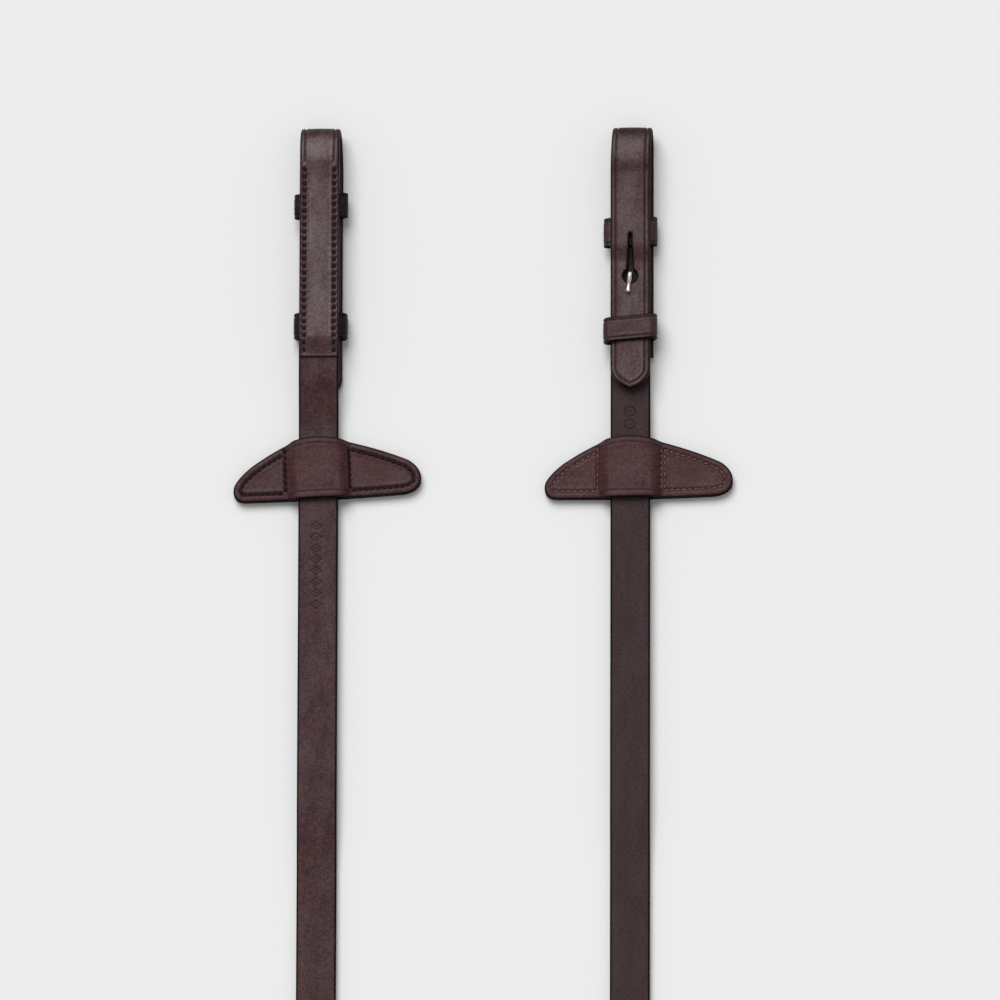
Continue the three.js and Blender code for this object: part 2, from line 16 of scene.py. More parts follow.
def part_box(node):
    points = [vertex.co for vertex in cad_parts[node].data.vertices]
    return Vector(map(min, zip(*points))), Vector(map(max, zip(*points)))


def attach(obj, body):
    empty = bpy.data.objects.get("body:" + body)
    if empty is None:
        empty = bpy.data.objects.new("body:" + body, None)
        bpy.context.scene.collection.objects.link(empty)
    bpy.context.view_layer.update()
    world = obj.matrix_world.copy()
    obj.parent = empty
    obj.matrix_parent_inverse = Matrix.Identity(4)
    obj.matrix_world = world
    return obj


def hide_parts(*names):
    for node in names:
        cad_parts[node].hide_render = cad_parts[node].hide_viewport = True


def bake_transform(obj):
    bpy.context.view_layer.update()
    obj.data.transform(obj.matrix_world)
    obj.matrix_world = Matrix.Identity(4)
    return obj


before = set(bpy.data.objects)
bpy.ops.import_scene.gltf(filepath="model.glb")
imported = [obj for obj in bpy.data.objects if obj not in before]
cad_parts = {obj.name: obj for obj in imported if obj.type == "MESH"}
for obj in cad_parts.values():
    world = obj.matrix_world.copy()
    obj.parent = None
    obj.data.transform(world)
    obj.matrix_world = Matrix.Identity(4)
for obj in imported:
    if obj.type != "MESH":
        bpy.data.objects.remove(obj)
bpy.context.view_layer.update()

MM = 0.001


def corners(node):
    """A CAD node's lowest and highest corner at rest, in mm."""
    low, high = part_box(node)
    return np.array(low) / MM, np.array(high) / MM


def middle(node):
    return np.mean(corners(node), axis=0)


# ---- sizes ---------------------------------------------------------------------------------------

SIDES = ("left", "right")
REIN_X = {"left": middle("left_rein_strap")[0], "right": middle("right_rein_tail")[0]}
BIT_Y = corners("right_billet_outer")[1][1]
STACK = corners("left_billet_outer")[1][2]

STRAP = {"wide": 16.0, "thick": 3.2, "round": 0.75}
BILLET = {"wide": 16.0, "thick": 3.0, "round": 0.8}
BILLET_Z, TAB_Z = 1.5, 8.3  # middles of the sewn layer and of the tab, hook side up
SEWN = (16.5, 94.0)
REIN_FROM = 90.0  # the free rein starts here, between the sewn layers
SHIFT = {"left": {"outer": -0.2, "tab": -1.4}, "right": {"outer": 1.2, "tab": 0.0}}
TAB_SPLIT = 12.0  # the tab moves on its own beyond this
TAB_TIP = {"left": 111.0, "right": 108.2}
CREASE_IN = 2.1
STITCH = {"in": 1.95, "pitch": 2.8}

KEYHOLE = {"at": 61.6, "radius": 2.8, "slit": 44.4, "narrow": 0.35, "wide": 1.05}
HOOK = {"at": 60.2, "wire": 0.92, "ball": 1.05, "reach": 7.6, "plate": 4.0}
UPPER_KEEPER = {"left": (26.8, 37), "right": (37, 49), "thick": 1.2, "top": 7.4, "half": 10.2}
LOWER_KEEPER = {"left": (76, 86.4), "right": (78, 88.2), "thick": 1.8, "top": 10.9, "half": 9.9}
KEEPER_SKEW = {"left": 0.0, "right": 0.09}

STOP = {"at": 127.0, "depth": 26.0, "layer": 1.8, "foot": 13.0, "shoulder": 8.3, "rise": 3.3, "crown": 1.3}
STOP_TILT = {"left": 2.0, "right": 0.0}

COIL = {"x": REIN_X["right"] - 88.0, "y": -392.15, "z": 9.3, "pitch": 7.4, "turns": 1.25}
RIGHT_LANE, LEFT_LANE = 88.0, 84.3
TURN_IN, LEFT_BEND, LEFT_ANGLE, LEFT_RISE = 38.0, 40.0, 110.0, 2.3
RIGHT_INNER, RIGHT_EASE, POINT_FROM = 68.0, 60.0, 40.0
REIN_LENGTH = 1397.0
BAR_AHEAD, CHAPE_STOP, CHAPE_LEG = 48.88, 10.0, 36.0


def y_at(along):
    return BIT_Y - along


# ---- small mathematics ---------------------------------------------------------------------------


def smooth(t):
    t = np.clip(t, 0, 1)
    return t * t * (3 - 2 * t)


def eased(knots, at):
    """A curve through (place, value) knots that never overshoots them."""
    x, y = (np.array(v, float) for v in zip(*knots))
    step, slope = np.diff(x), np.diff(y) / np.diff(x)
    tangent = np.zeros(len(x))
    same = slope[:-1] * slope[1:] > 0
    tangent[1:-1][same] = 2 * slope[:-1][same] * slope[1:][same] / (slope[:-1] + slope[1:])[same]
    i = np.clip(np.searchsorted(x, at) - 1, 0, len(step) - 1)
    t = (at - x[i]) / step[i]
    rise = t * t * (3 - 2 * t)
    bend = step[i] * (t * (1 - t) ** 2 * tangent[i] - t * t * (1 - t) * tangent[i + 1])
    return y[i] + (y[i + 1] - y[i]) * rise + bend


def dip(x, width):
    """1 at x = 0, falling away within about width."""
    return np.exp(-((x / width) ** 2))


def unit(v):
    return v / np.linalg.norm(v, axis=-1, keepdims=True)


def arc(cx, cy, radius, start, end, count):
    a = np.radians(np.linspace(start, end, count))
    return [(cx + radius * math.cos(t), cy + radius * math.sin(t)) for t in a]


def quadratic(points, count=10):
    """Outline points along a chain of quadratic bends: start, then (control, end) pairs."""
    at, made = points[0], [points[0]]
    for control, end in points[1:]:
        for t in np.linspace(0, 1, count + 1)[1:]:
            bend = (1 - t) ** 2 * np.array(at) + 2 * t * (1 - t) * np.array(control) + t * t * np.array(end)
            made.append(tuple(bend))
        at = end
    return made


def curved(points, count=40):
    """A smooth line of count points through the given ones."""
    p = np.array(points, float)
    p = np.vstack([2 * p[0] - p[1], p, 2 * p[-1] - p[-2]])
    made = []
    for at in np.linspace(0, len(points) - 1, count):
        i = min(int(at), len(points) - 2)
        t, (a, b, c, d) = at - i, p[i:i + 4]
        square, cube = 2 * a - 5 * b + 4 * c - d, 3 * b - a - 3 * c + d
        made.append(0.5 * (2 * b + (c - a) * t + square * t**2 + cube * t**3))
    return np.array(made)


def rounded(points, radius, closed=False, count=6):
    """The same outline with each corner turned into a bend that starts radius before it."""
    p = [np.array(v, float) for v in points]
    made = [] if closed else [p[0]]
    for i in range(0 if closed else 1, len(p) if closed else len(p) - 1):
        corner, before, after = p[i], p[i - 1], p[(i + 1) % len(p)]
        a = corner + unit(before - corner) * radius
        b = corner + unit(after - corner) * radius
        made += [(1 - t) ** 2 * a + 2 * t * (1 - t) * corner + t * t * b for t in np.linspace(0, 1, count)]
    return np.array(made if closed else made + [p[-1]])


def dense(points, step=0.5):
    """Points at most step apart along the line."""
    p = np.array(points, float)
    s = np.concatenate([[0], np.cumsum(np.linalg.norm(np.diff(p, axis=0), axis=1))])
    at = np.linspace(0, s[-1], max(2, math.ceil(s[-1] / step)) + 1)
    return np.stack([np.interp(at, s, p[:, k]) for k in range(p.shape[1])], axis=-1)


class Path:
    """A centre line by its length in mm, with the direction of the width and of the grain side."""

    def __init__(self, points, wide, out):
        self.line = np.array(points, float)
        self.s = np.concatenate([[0], np.cumsum(np.linalg.norm(np.diff(self.line, axis=0), axis=1))])
        self.wide, self.out = unit(np.array(wide, float)), unit(np.array(out, float))

    def spread(self, values, s):
        return np.stack([np.interp(s, self.s, values[:, k]) for k in range(3)], axis=-1)

    def __call__(self, s, u, h):
        u, h = np.asarray(u, float)[..., None], np.asarray(h, float)[..., None]
        return self.spread(self.line, s) + u * self.spread(self.wide, s) + h * self.spread(self.out, s)


def path_in_plane(points, wide):
    """A path whose line stays square to wide, its grain side out to the right of it seen along wide."""
    line = np.array(points, float)
    ahead = unit(np.gradient(line, axis=0))
    return Path(line, np.tile(wide, (len(line), 1)), np.cross(ahead, np.array(wide, float)))


FLIP = {"left": np.array([-1, 1, -1]), "right": np.array([1, 1, 1])}


def bit_end(side, xyz):
    """Places bit-end coordinates, hook side up about the strap's centre, in the model."""
    x, y, z = np.moveaxis(np.asarray(xyz, float), -1, 0)
    if side == "left":
        return np.stack([REIN_X[side] - x, y, STACK - z], axis=-1)
    return np.stack([REIN_X[side] + x, y, z], axis=-1)


# ---- meshes --------------------------------------------------------------------------------------


def piece(name, points, faces, material, body=None, **values):
    """A smooth mesh from points in mm; values are numbers or vectors stored on its points."""
    mesh = bpy.data.meshes.new(name)
    mesh.from_pydata((np.asarray(points) * MM).tolist(), [], [list(map(int, f)) for f in faces])
    for key, value in values.items():
        value = np.asarray(value, np.float32)
        kind, field = ("FLOAT_VECTOR", "vector") if value.ndim == 2 else ("FLOAT", "value")
        mesh.attributes.new(key, kind, "POINT").data.foreach_set(field, value.ravel())
    mesh.polygons.foreach_set("use_smooth", [True] * len(mesh.polygons))
    mesh.materials.append(material)
    mesh.update()
    made = bpy.data.objects.new(name, mesh)
    bpy.context.scene.collection.objects.link(made)
    if body:
        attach(made, body)
    return made


def rings_to_faces(count, around, closed=False):
    """Faces of a tube of rings, with flat ends unless the rings close on themselves."""
    faces = []
    for i in range(count if closed else count - 1):
        a, b = i * around, (i + 1) % count * around
        faces += [(a + k, a + (k + 1) % around, b + (k + 1) % around, b + k) for k in range(around)]
    if not closed:
        faces += [tuple(range(around))[::-1], tuple(range((count - 1) * around, count * around))]
    return faces


def rounding(d, radius):
    """How far a face falls towards its rounded edge, at a distance d from the edge."""
    return -(radius - np.sqrt(radius**2 - (radius - np.clip(d, 0, radius)) ** 2))


def ink(d):
    """Black edge paint, full on the edge itself; its spread a little way onto the face is painted shade along
    the rounded rims.
    """
    return np.clip((0.85 - d) / 0.35, 0, 1)


def pressed_dark_and_shade(depth):
    """How far leather darkens where it is pressed in: partly the darker pressed leather, partly painted shade
    in the hollow.
    """
    return 0.85 * np.clip(depth / 0.4, 0, 1)


def strap_profile(wide, thick, radius, step):
    """Across a strap: u and h of each point of its outline, grain face first, then the flesh face."""
    half = wide / 2
    rim = [half - d for d in (0.0, 0.08, 0.25, 0.5, 0.8, 1.2)]
    inner = list(np.linspace(rim[-1], -rim[-1], max(3, round(2 * rim[-1] / step) + 1)))
    u = np.array(rim[:-1] + inner + [-v for v in rim[:-1][::-1]])
    h = thick / 2 + rounding(half - abs(u), radius)
    return u, h


def strap(name, path, stations, wide, thick, radius, material, face_up="grain", relief=None, step=0.42,
          body=None):
    """A strap swept along a path; relief(s, u) is how far its upper face stands up, in mm."""
    u, h = strap_profile(wide, thick, radius, step)
    s = np.asarray(stations, float)
    S, U = np.meshgrid(s, u, indexing="ij")
    rise = relief(S, U) if relief else 0 * S
    top = np.tile(h, (len(s), 1)) + rise
    low = np.tile(-h, (len(s), 1))
    points = np.concatenate([path(S, U, top), path(S, U[:, ::-1], low[:, ::-1])], axis=1)
    around = points.shape[1]
    d = np.tile(wide / 2 - abs(u), (len(s), 1))
    # edge paint with painted shade along the rims, and painted shade in the stamped marks' hollows
    inked = np.concatenate([np.maximum(ink(d), pressed_dark_and_shade(-rise)), ink(d[:, ::-1])], axis=1)
    up = 0.0 if face_up == "grain" else 1.0
    flesh = np.concatenate([np.full(top.shape, up), np.full(low.shape, 1 - up)], axis=1)
    flat = np.concatenate([np.stack([S, U, 0 * S + 3], -1), np.stack([S, U[:, ::-1], 0 * S - 3], -1)], axis=1)
    return piece(name, points.reshape(-1, 3), rings_to_faces(len(s), around), material, body,
                 ink=inked.ravel(), flesh=flesh.ravel(), flat=flat.reshape(-1, 3))


def from_edges(points, loops):
    """Distance of each point from the nearest edge of the loops."""
    best = np.full(len(points), 1e9)
    for loop in loops:
        a = np.array(loop, float)
        ab = np.roll(a, -1, axis=0) - a
        for start in range(0, len(points), 2000):
            p = points[start:start + 2000, None] - a[None]
            t = np.clip((p * ab).sum(-1) / np.maximum((ab * ab).sum(-1), 1e-12), 0, 1)
            gap = np.linalg.norm(p - t[..., None] * ab, axis=-1).min(axis=1)
            best[start:start + 2000] = np.minimum(best[start:start + 2000], gap)
    return best


def resampled(loop, step):
    """The loop with points about step apart, its corners kept."""
    made = []
    for a, b in zip(loop, loop[1:] + loop[:1]):
        a, b = np.array(a, float), np.array(b, float)
        count = max(1, math.ceil(np.linalg.norm(b - a) / step))
        made += [tuple(a + (b - a) * k / count) for k in range(count)]
    return made


def inset(loop, distance):
    """The loop moved to its left by distance: inwards when it runs anticlockwise."""
    a = np.array(loop, float)
    ahead, behind = unit(np.roll(a, -1, axis=0) - a), unit(a - np.roll(a, 1, axis=0))
    along = unit(ahead + behind)
    left = np.stack([-along[:, 1], along[:, 0]], axis=-1)
    turn = np.maximum((along * ahead).sum(-1), 0.5)
    return a + left * (distance / turn)[:, None]


def inside(points, loop):
    a = np.array(loop, float)
    b = np.roll(a, -1, axis=0)
    x, y = points[:, :1], points[:, 1:]
    cross = (a[:, 1] > y) != (b[:, 1] > y)
    with np.errstate(divide="ignore", invalid="ignore"):
        at = (b[:, 0] - a[:, 0]) * (y - a[:, 1]) / (b[:, 1] - a[:, 1]) + a[:, 0]
    return (np.count_nonzero(cross & (x < at), axis=1) % 2) == 1


RIM = (0.12, 0.35, 0.7)


def cut_out(outline, holes, step):
    """Triangles of a flat outline with holes, as points, faces and the boundary loops' numbers."""
    loops = [resampled(list(outline), 0.7)] + [resampled(list(h), 0.5) for h in holes]
    points, edges, sizes = [], [], []
    for loop in loops:
        first = len(points)
        points += loop
        edges += [(first + k, first + (k + 1) % len(loop)) for k in range(len(loop))]
        sizes.append(len(loop))
    low, high = np.min(loops[0], axis=0), np.max(loops[0], axis=0)
    ticks = [np.arange(low[k] + step[k] / 2, high[k], step[k]) for k in (0, 1)]
    grid = np.stack(np.meshgrid(*ticks), -1).reshape(-1, 2)
    extra = [np.array(inset(loop, d)) for loop in loops for d in RIM]
    margins = [np.full(len(e), d * 0.92) for e, d in zip(extra, list(RIM) * len(loops))]
    clear = np.concatenate([np.full(len(grid), RIM[-1] * 1.3)] + margins)
    free = np.concatenate([grid, *extra])
    keep = inside(free, loops[0]) & (from_edges(free, loops) > clear)
    for hole in loops[1:]:
        keep &= ~inside(free, hole)
    points += [tuple(p) for p in free[keep]]
    flat, _, faces, *_ = delaunay_2d_cdt([Vector(p) for p in points], edges, [], 0, 1e-6)
    flat = np.array([tuple(p) for p in flat])
    centres = np.array([flat[list(f)].mean(axis=0) for f in faces])
    good = inside(centres, loops[0])
    for hole in loops[1:]:
        good &= ~inside(centres, hole)
    faces = [f for f, ok in zip(faces, good) if ok]
    starts = np.cumsum([0] + sizes[:-1])
    return flat, faces, loops, [list(range(a, a + n)) for a, n in zip(starts, sizes)]


def panel(name, outline, place, thick, material, holes=(), step=(1.0, 0.5), relief=(), radius=0.7,
          body=None, shade=None, open_ends=()):
    """Leather cut to an anticlockwise outline in (s, u), with rounded edges in black paint and painted shade,
    laid by place(s, u, h).

    relief is a list of functions of (s, u, distance from the outer edge) that raise or sink the grain face.
    shade(s, u) is how much painted shade darkens it, and open_ends are the s at which it meets another
    piece, so its edge stays square and unpainted there.
    """
    flat, faces, loops, rims = cut_out(outline, holes, step)
    d, outer = from_edges(flat, loops), from_edges(flat, loops[:1])
    half = max(p[1] for p in loops[0])
    for end in open_ends:  # distance from the long edges only, near an end that another piece carries on
        near = abs(flat[:, 0] - end) < 3
        d[near] = outer[near] = np.maximum(d[near], half - abs(flat[near, 1]))
    s, u = flat[:, 0], flat[:, 1]
    top = thick / 2 + rounding(d, radius)
    low = -thick / 2 - rounding(d, radius)
    pressed = 0
    for shape in relief:
        rise = shape(s, u, outer)
        top, pressed = top + rise, np.maximum(pressed, -rise)
    # worn: darker pressed leather with painted shade in its hollows, and the painted shade from shade(s, u)
    worn = np.maximum(pressed_dark_and_shade(pressed), shade(s, u) if shade else 0)
    n = len(flat)
    points = np.concatenate([place(s, u, top), place(s, u, low)])
    all_faces = [tuple(f) for f in faces] + [tuple(n + k for k in f[::-1]) for f in faces]
    for rim in rims:
        all_faces += [(b, a, n + a, n + b) for a, b in zip(rim, rim[1:] + rim[:1])]
    made = piece(name, points, all_faces, material, body,
                 ink=np.concatenate([np.maximum(ink(d), worn), ink(d)]), flesh=np.repeat([0.0, 1.0], n),
                 flat=np.concatenate([np.stack([s, u, 0 * s + 3], -1), np.stack([s, u, 0 * s - 3], -1)]))
    return made


def crease(at=CREASE_IN, depth=0.36, width=0.34):
    """A pressed line at a distance from the edge, with a slight ridge on either side."""
    def shape(s, u, d):
        ridges = dip(d - at - 0.75, 0.4) + dip(d - at + 0.75, 0.4)
        return -depth * dip(d - at, width) + 0.25 * depth * ridges
    return shape


def pits(spots, depth=0.32, size=(1.25, 0.6), rim=0.24):
    """The leather pulled down round each stitch."""
    def shape(s, u, d):
        sunk = np.zeros(len(s))
        for at, across, turn in spots:
            c, w = math.cos(turn), math.sin(turn)
            near = np.nonzero((abs(s - at) < 3) & (abs(u - across) < 3))[0]
            x, y = s[near] - at, u[near] - across
            reach = (((x * c + y * w) / size[0]) ** 4 + ((y * c - x * w) / size[1]) ** 4) ** 0.25
            sunk[near] += depth * (np.exp(-(reach**4)) - rim * dip(reach - 1.55, 0.4))
        return -sunk
    return shape


def stitches(name, spots, place, face, material, body=None, length=2.0, radius=0.42, sunk=0.3):
    """Thread seen on a stitched face, one rounded bead for each (s, u, turn)."""
    t = np.linspace(-1, 1, 7)
    swell = np.sqrt(np.clip(1 - abs(t) ** 3, 0.02, 1))
    a = np.linspace(0, 2 * math.pi, 8, endpoint=False)
    points, faces = [], []
    for at, across, turn in spots:
        first = len(points)
        x = np.repeat(t * length / 2, 8)
        y = (swell[:, None] * radius * np.cos(a)).ravel()
        z = (swell[:, None] * radius * np.sin(a)).ravel() + face - sunk
        s = at + x * math.cos(turn) - y * math.sin(turn)
        u = across + x * math.sin(turn) + y * math.cos(turn)
        points += place(s, u, z).tolist()
        faces += [tuple(first + k for k in f) for f in rings_to_faces(7, 8)]
    return piece(name, points, faces, material, body)


def row(start, end, pitch, turn=0.0):
    """Stitch spots evenly spaced from start to end."""
    start, end = np.array(start, float), np.array(end, float)
    length = np.linalg.norm(end - start)
    count = max(1, round(length / pitch))
    angle = math.atan2(end[1] - start[1], end[0] - start[0]) + turn
    return [(*(start + (end - start) * (k + 0.5) / count), angle) for k in range(count)]


def tube(name, centres, radii, material, body=None, around=16, closed=False, flatten=1.0):
    """A round bar along points in mm, its radius given at each."""
    line = np.array(centres, float)
    radii = np.broadcast_to(np.asarray(radii, float), (len(line),))
    step = np.roll(line, -1, axis=0) - np.roll(line, 1, axis=0) if closed else np.gradient(line, axis=0)
    ahead = unit(step)
    side = np.cross(ahead[0], [0, 0, 1.0])
    if np.linalg.norm(side) < 1e-6:
        side = np.array([1.0, 0, 0])
    a = np.linspace(0, 2 * math.pi, around, endpoint=False)
    points = []
    for p, t, r in zip(line, ahead, radii):
        side = unit(side - t * (side @ t))
        up = np.cross(t, side)
        points += [p + r * (math.cos(k) * side + flatten * math.sin(k) * up) for k in a]
    return piece(name, points, rings_to_faces(len(line), around, closed), material, body)


# ---- materials -----------------------------------------------------------------------------------


class Nodes:
    """Adds nodes to a material with a line for each."""

    def __init__(self, name):
        self.material = bpy.data.materials.new(name)
        self.material.use_nodes = True
        self.tree = self.material.node_tree
        self.shader = self.tree.nodes["Principled BSDF"]

    def add(self, kind, links=(), **settings):
        node = self.tree.nodes.new(kind)
        for key, value in settings.items():
            if hasattr(node, key):
                setattr(node, key, value)
            else:
                node.inputs[key.replace("_", " ").title()].default_value = value
        for socket, source in dict(links).items():
            self.tree.links.new(source, node.inputs[socket])
        return node

    def noise(self, where, scale, detail=4.0, stretch=(1, 1, 1), rough=0.55):
        at = self.add("ShaderNodeMapping", {"Vector": where}, Scale=stretch)
        node = self.add("ShaderNodeTexNoise", {"Vector": at.outputs[0]}, Scale=scale, Detail=detail,
                        Roughness=rough)
        return node.outputs["Fac"]

    def spread(self, value, low, high, to_low=0.0, to_high=1.0):
        node = self.add("ShaderNodeMapRange", {"Value": value})
        for key, number in zip(("From Min", "From Max", "To Min", "To Max"), (low, high, to_low, to_high)):
            node.inputs[key].default_value = number
        return node.outputs[0]

    def maths(self, operation, a, b):
        node = self.add("ShaderNodeMath", operation=operation)
        for socket, value in zip(node.inputs, (a, b)):
            if isinstance(value, (int, float)):
                socket.default_value = value
            else:
                self.tree.links.new(value, socket)
        return node.outputs[0]

    def mix(self, factor, a, b):
        node = self.add("ShaderNodeMix", {0: factor}, data_type="RGBA")
        for socket, value in zip((node.inputs[6], node.inputs[7]), (a, b)):
            if isinstance(value, tuple):
                socket.default_value = (*value, 1)
            else:
                self.tree.links.new(value, socket)
        return node.outputs[2]

    def bump(self, height, distance, strength=1.0, after=None):
        links = {"Height": height}
        if after:
            links["Normal"] = after
        node = self.add("ShaderNodeBump", links)
        node.inputs["Distance"].default_value = distance
        node.inputs["Strength"].default_value = strength
        return node.outputs[0]

    def finish(self, **sockets):
        for key, value in sockets.items():
            socket = self.shader.inputs[key.replace("_", " ").title().replace("Ior", "IOR")]
            if isinstance(value, (int, float)):
                socket.default_value = value
            else:
                self.tree.links.new(value, socket)
        return self.material


def leather(name, grain, dark, flesh=(0.043, 0.0245, 0.0258), gloss=0.42, shine=0.28, seed=0.0):
    """Finished bridle leather: a satin grain side, a duller fibrous flesh side and black-painted edges; the
    same near-black lays painted shade on rims, pressed hollows and shaded bands.
    """
    n = Nodes(name)
    flat = n.add("ShaderNodeAttribute", attribute_name="flat").outputs["Vector"]
    where = n.add("ShaderNodeMapping", {"Vector": flat}, Location=(seed, seed * 3, 0)).outputs[0]
    inked = n.add("ShaderNodeAttribute", attribute_name="ink").outputs["Fac"]
    back = n.add("ShaderNodeAttribute", attribute_name="flesh").outputs["Fac"]
    patches = n.noise(where, 0.16, 3)
    pores = n.noise(where, 1.15, 5, rough=0.8)
    fine = n.noise(where, 4.5, 3, stretch=(1, 1.15, 1))
    fibres = n.noise(where, 1.3, 5, stretch=(1.9, 0.55, 1), rough=0.75)
    tone = n.maths("ADD", n.spread(patches, 0.3, 0.7, 0, 0.35), n.spread(pores, 0.38, 0.62, 0, 0.65))
    front = n.mix(tone, dark, grain)
    rear = n.mix(n.spread(fibres, 0.35, 0.65), tuple(0.55 * c for c in flesh), tuple(1.45 * c for c in flesh))
    # near-black edge paint, also painted shade along the rims, in pressed hollows and in the shade bands
    colour = n.mix(inked, n.mix(back, front, rear), (0.0042, 0.0022, 0.0022))
    rough = n.maths("ADD", n.spread(pores, 0.3, 0.7, gloss - 0.08, gloss + 0.1),
                    n.maths("MULTIPLY", back, 0.3))
    streaks = n.noise(where, 0.11, 4, stretch=(0.6, 1.7, 1))
    polish = n.maths("MULTIPLY", n.spread(streaks, 0.35, 0.65, 0.7 * shine, 1.3 * shine),
                     n.spread(inked, 0, 1, 1, 0.3))
    polish = n.maths("MULTIPLY", polish, n.spread(pores, 0.38, 0.62, 0.6, 1.4))
    fold = n.bump(pores, 0.00012, 0.9)
    fold = n.bump(fine, 0.00003, 0.8, fold)
    fold = n.bump(n.maths("MULTIPLY", fibres, back), 0.00012, 0.7, fold)
    return n.finish(Base_Color=colour, Roughness=rough, Specular_IOR_Level=polish, Normal=fold)


def thread(name, light, dark):
    n = Nodes(name)
    where = n.add("ShaderNodeTexCoord").outputs["Object"]
    ply = n.noise(where, 2600, 2, stretch=(1, 0.35, 1))
    colour = n.mix(n.spread(ply, 0.35, 0.65), dark, light)
    return n.finish(Base_Color=colour, Roughness=n.spread(ply, 0.3, 0.7, 0.45, 0.7), Specular_IOR_Level=0.2,
                    Normal=n.bump(ply, 0.00008))


def nickel(name):
    n = Nodes(name)
    where = n.add("ShaderNodeTexCoord").outputs["Object"]
    worn = n.noise(where, 700, 4)
    fine = n.noise(where, 5200, 2, stretch=(1, 0.2, 1))
    colour = n.mix(n.spread(worn, 0.3, 0.7), (0.78, 0.75, 0.72), (0.93, 0.91, 0.89))
    rough = n.maths("ADD", n.spread(worn, 0.3, 0.7, 0.12, 0.24), n.spread(fine, 0.3, 0.7, 0, 0.05))
    return n.finish(Base_Color=colour, Roughness=rough, Metallic=1.0, Normal=n.bump(fine, 0.00001, 0.5))


def tape(name):
    n = Nodes(name)
    flat = n.add("ShaderNodeAttribute", attribute_name="flat").outputs["Vector"]
    ribs = n.add("ShaderNodeTexWave", {"Vector": flat}, bands_direction="X", Scale=0.75, Distortion=0.6)
    warp = n.add("ShaderNodeTexWave", {"Vector": flat}, bands_direction="Y", Scale=0.55, Distortion=0.3)
    weave = n.maths("MULTIPLY", ribs.outputs["Fac"], n.spread(warp.outputs["Fac"], 0, 1, 0.5, 1))
    fuzz = n.noise(flat, 3, 4)
    tone = n.maths("MULTIPLY", weave, n.spread(fuzz, 0.2, 0.8, 0.5, 1))
    colour = n.mix(tone, (0.008, 0.006, 0.006), (0.04, 0.029, 0.029))
    return n.finish(Base_Color=colour, Roughness=n.spread(fuzz, 0.3, 0.7, 0.75, 0.95),
                    Normal=n.bump(weave, 0.00015))


def floor_paint():
    n = Nodes("floor")
    where = n.add("ShaderNodeTexCoord").outputs["Object"]
    mottle = n.noise(where, 9, 3)
    colour = n.mix(mottle, (0.815, 0.815, 0.815), (0.825, 0.825, 0.825))
    return n.finish(Base_Color=colour, Roughness=n.spread(mottle, 0.3, 0.7, 0.85, 0.95))


BILLET_LEATHER = {
    "left": leather("left_billet_leather", (0.09, 0.036, 0.037), (0.03, 0.0105, 0.0115), gloss=0.34,
                    shine=0.43),
    "right": leather("right_billet_leather", (0.083, 0.034, 0.035), (0.028, 0.01, 0.011), gloss=0.39,
                     shine=0.35, seed=7.0),
}
STRAP_LEATHER = leather("strap_leather", (0.076, 0.0295, 0.031), (0.02, 0.007, 0.008), gloss=0.45, shine=0.22,
                        seed=13.0)
KEEPER_LEATHER = leather("keeper_leather", (0.068, 0.027, 0.029), (0.032, 0.012, 0.0125),
                         gloss=0.4, shine=0.25, seed=23.0)
STOP_LEATHER = leather("stop_leather", (0.078, 0.0295, 0.0315), (0.034, 0.0115, 0.0125),
                       gloss=0.44, shine=0.21, seed=31.0)
DARK_THREAD = thread("dark_thread", (0.011, 0.0035, 0.0035), (0.003, 0.001, 0.001))
RED_THREAD = thread("red_thread", (0.23, 0.095, 0.08), (0.07, 0.022, 0.018))
NICKEL = nickel("nickel_plate")
TAPE = tape("woven_tape")

# ---- camera --------------------------------------------------------------------------------------

VIEW = {"wide": 403.8, "lens": 500.0, "centre": (6.7, 32.3, 0.0), "lean": 10.0, "from_right": 2.0,
        "roll": 0.17}


def add_camera():
    """A long lens almost straight above, leaning towards the free ends, as the reins were shot."""
    data = bpy.data.cameras.new("camera")
    data.lens, data.sensor_width = VIEW["lens"], 36.0
    camera = bpy.data.objects.new("camera", data)
    bpy.context.scene.collection.objects.link(camera)
    lean, from_right = (math.tan(math.radians(VIEW[key])) for key in ("lean", "from_right"))
    away = Vector((from_right, -lean, 1)).normalized()
    distance = VIEW["wide"] * MM / 2 / (data.sensor_width / 2 / data.lens)
    up = (Vector((0, 1, 0)) - away * away.y).normalized()
    up = Matrix.Rotation(math.radians(VIEW["roll"]), 3, away) @ up
    right = up.cross(away)
    place = Matrix.Translation(Vector(VIEW["centre"]) * MM + away * distance)
    camera.matrix_world = place @ Matrix((right, up, away)).transposed().to_4x4()
    data.clip_start, data.clip_end = 0.05, 60
    bpy.context.scene.camera = camera


add_camera()

# ---- the free reins ------------------------------------------------------------------------------

# y, height of the strap's middle and roll in degrees, from lying flat to standing on edge.
TWIST = [
    (-184.3, 1.8, 0), (-194, 1.9, 2), (-206, 3.6, 13), (-218, 5.9, 32), (-230, 7.9, 54),
    (-242, 8.9, 73), (-254, 9.25, 86), (-268, 9.3, 90),
]
# distance along the rein and height of the strap's middle where it lies straight.
STRAIGHT = {
    "left": [(90, 7.2), (100, 7.2), (124, 3.7), (275, 3.7), (305, 1.8)],
    "right": [(90, 4.9), (94, 4.9), (112, 3.7), (275, 3.7), (305, 1.8)],
}
MARKS = {"left": (161.0, 197.5), "right": (113.5, 124.5)}


def coil_point(radius, degrees, cx=None, cy=None):
    """A point of the coil, by degrees clockwise from its lowest point."""
    a = math.radians(degrees)
    x, y = COIL["x"] if cx is None else cx, COIL["y"] if cy is None else cy
    return (x - radius * math.sin(a), y - radius * math.cos(a))


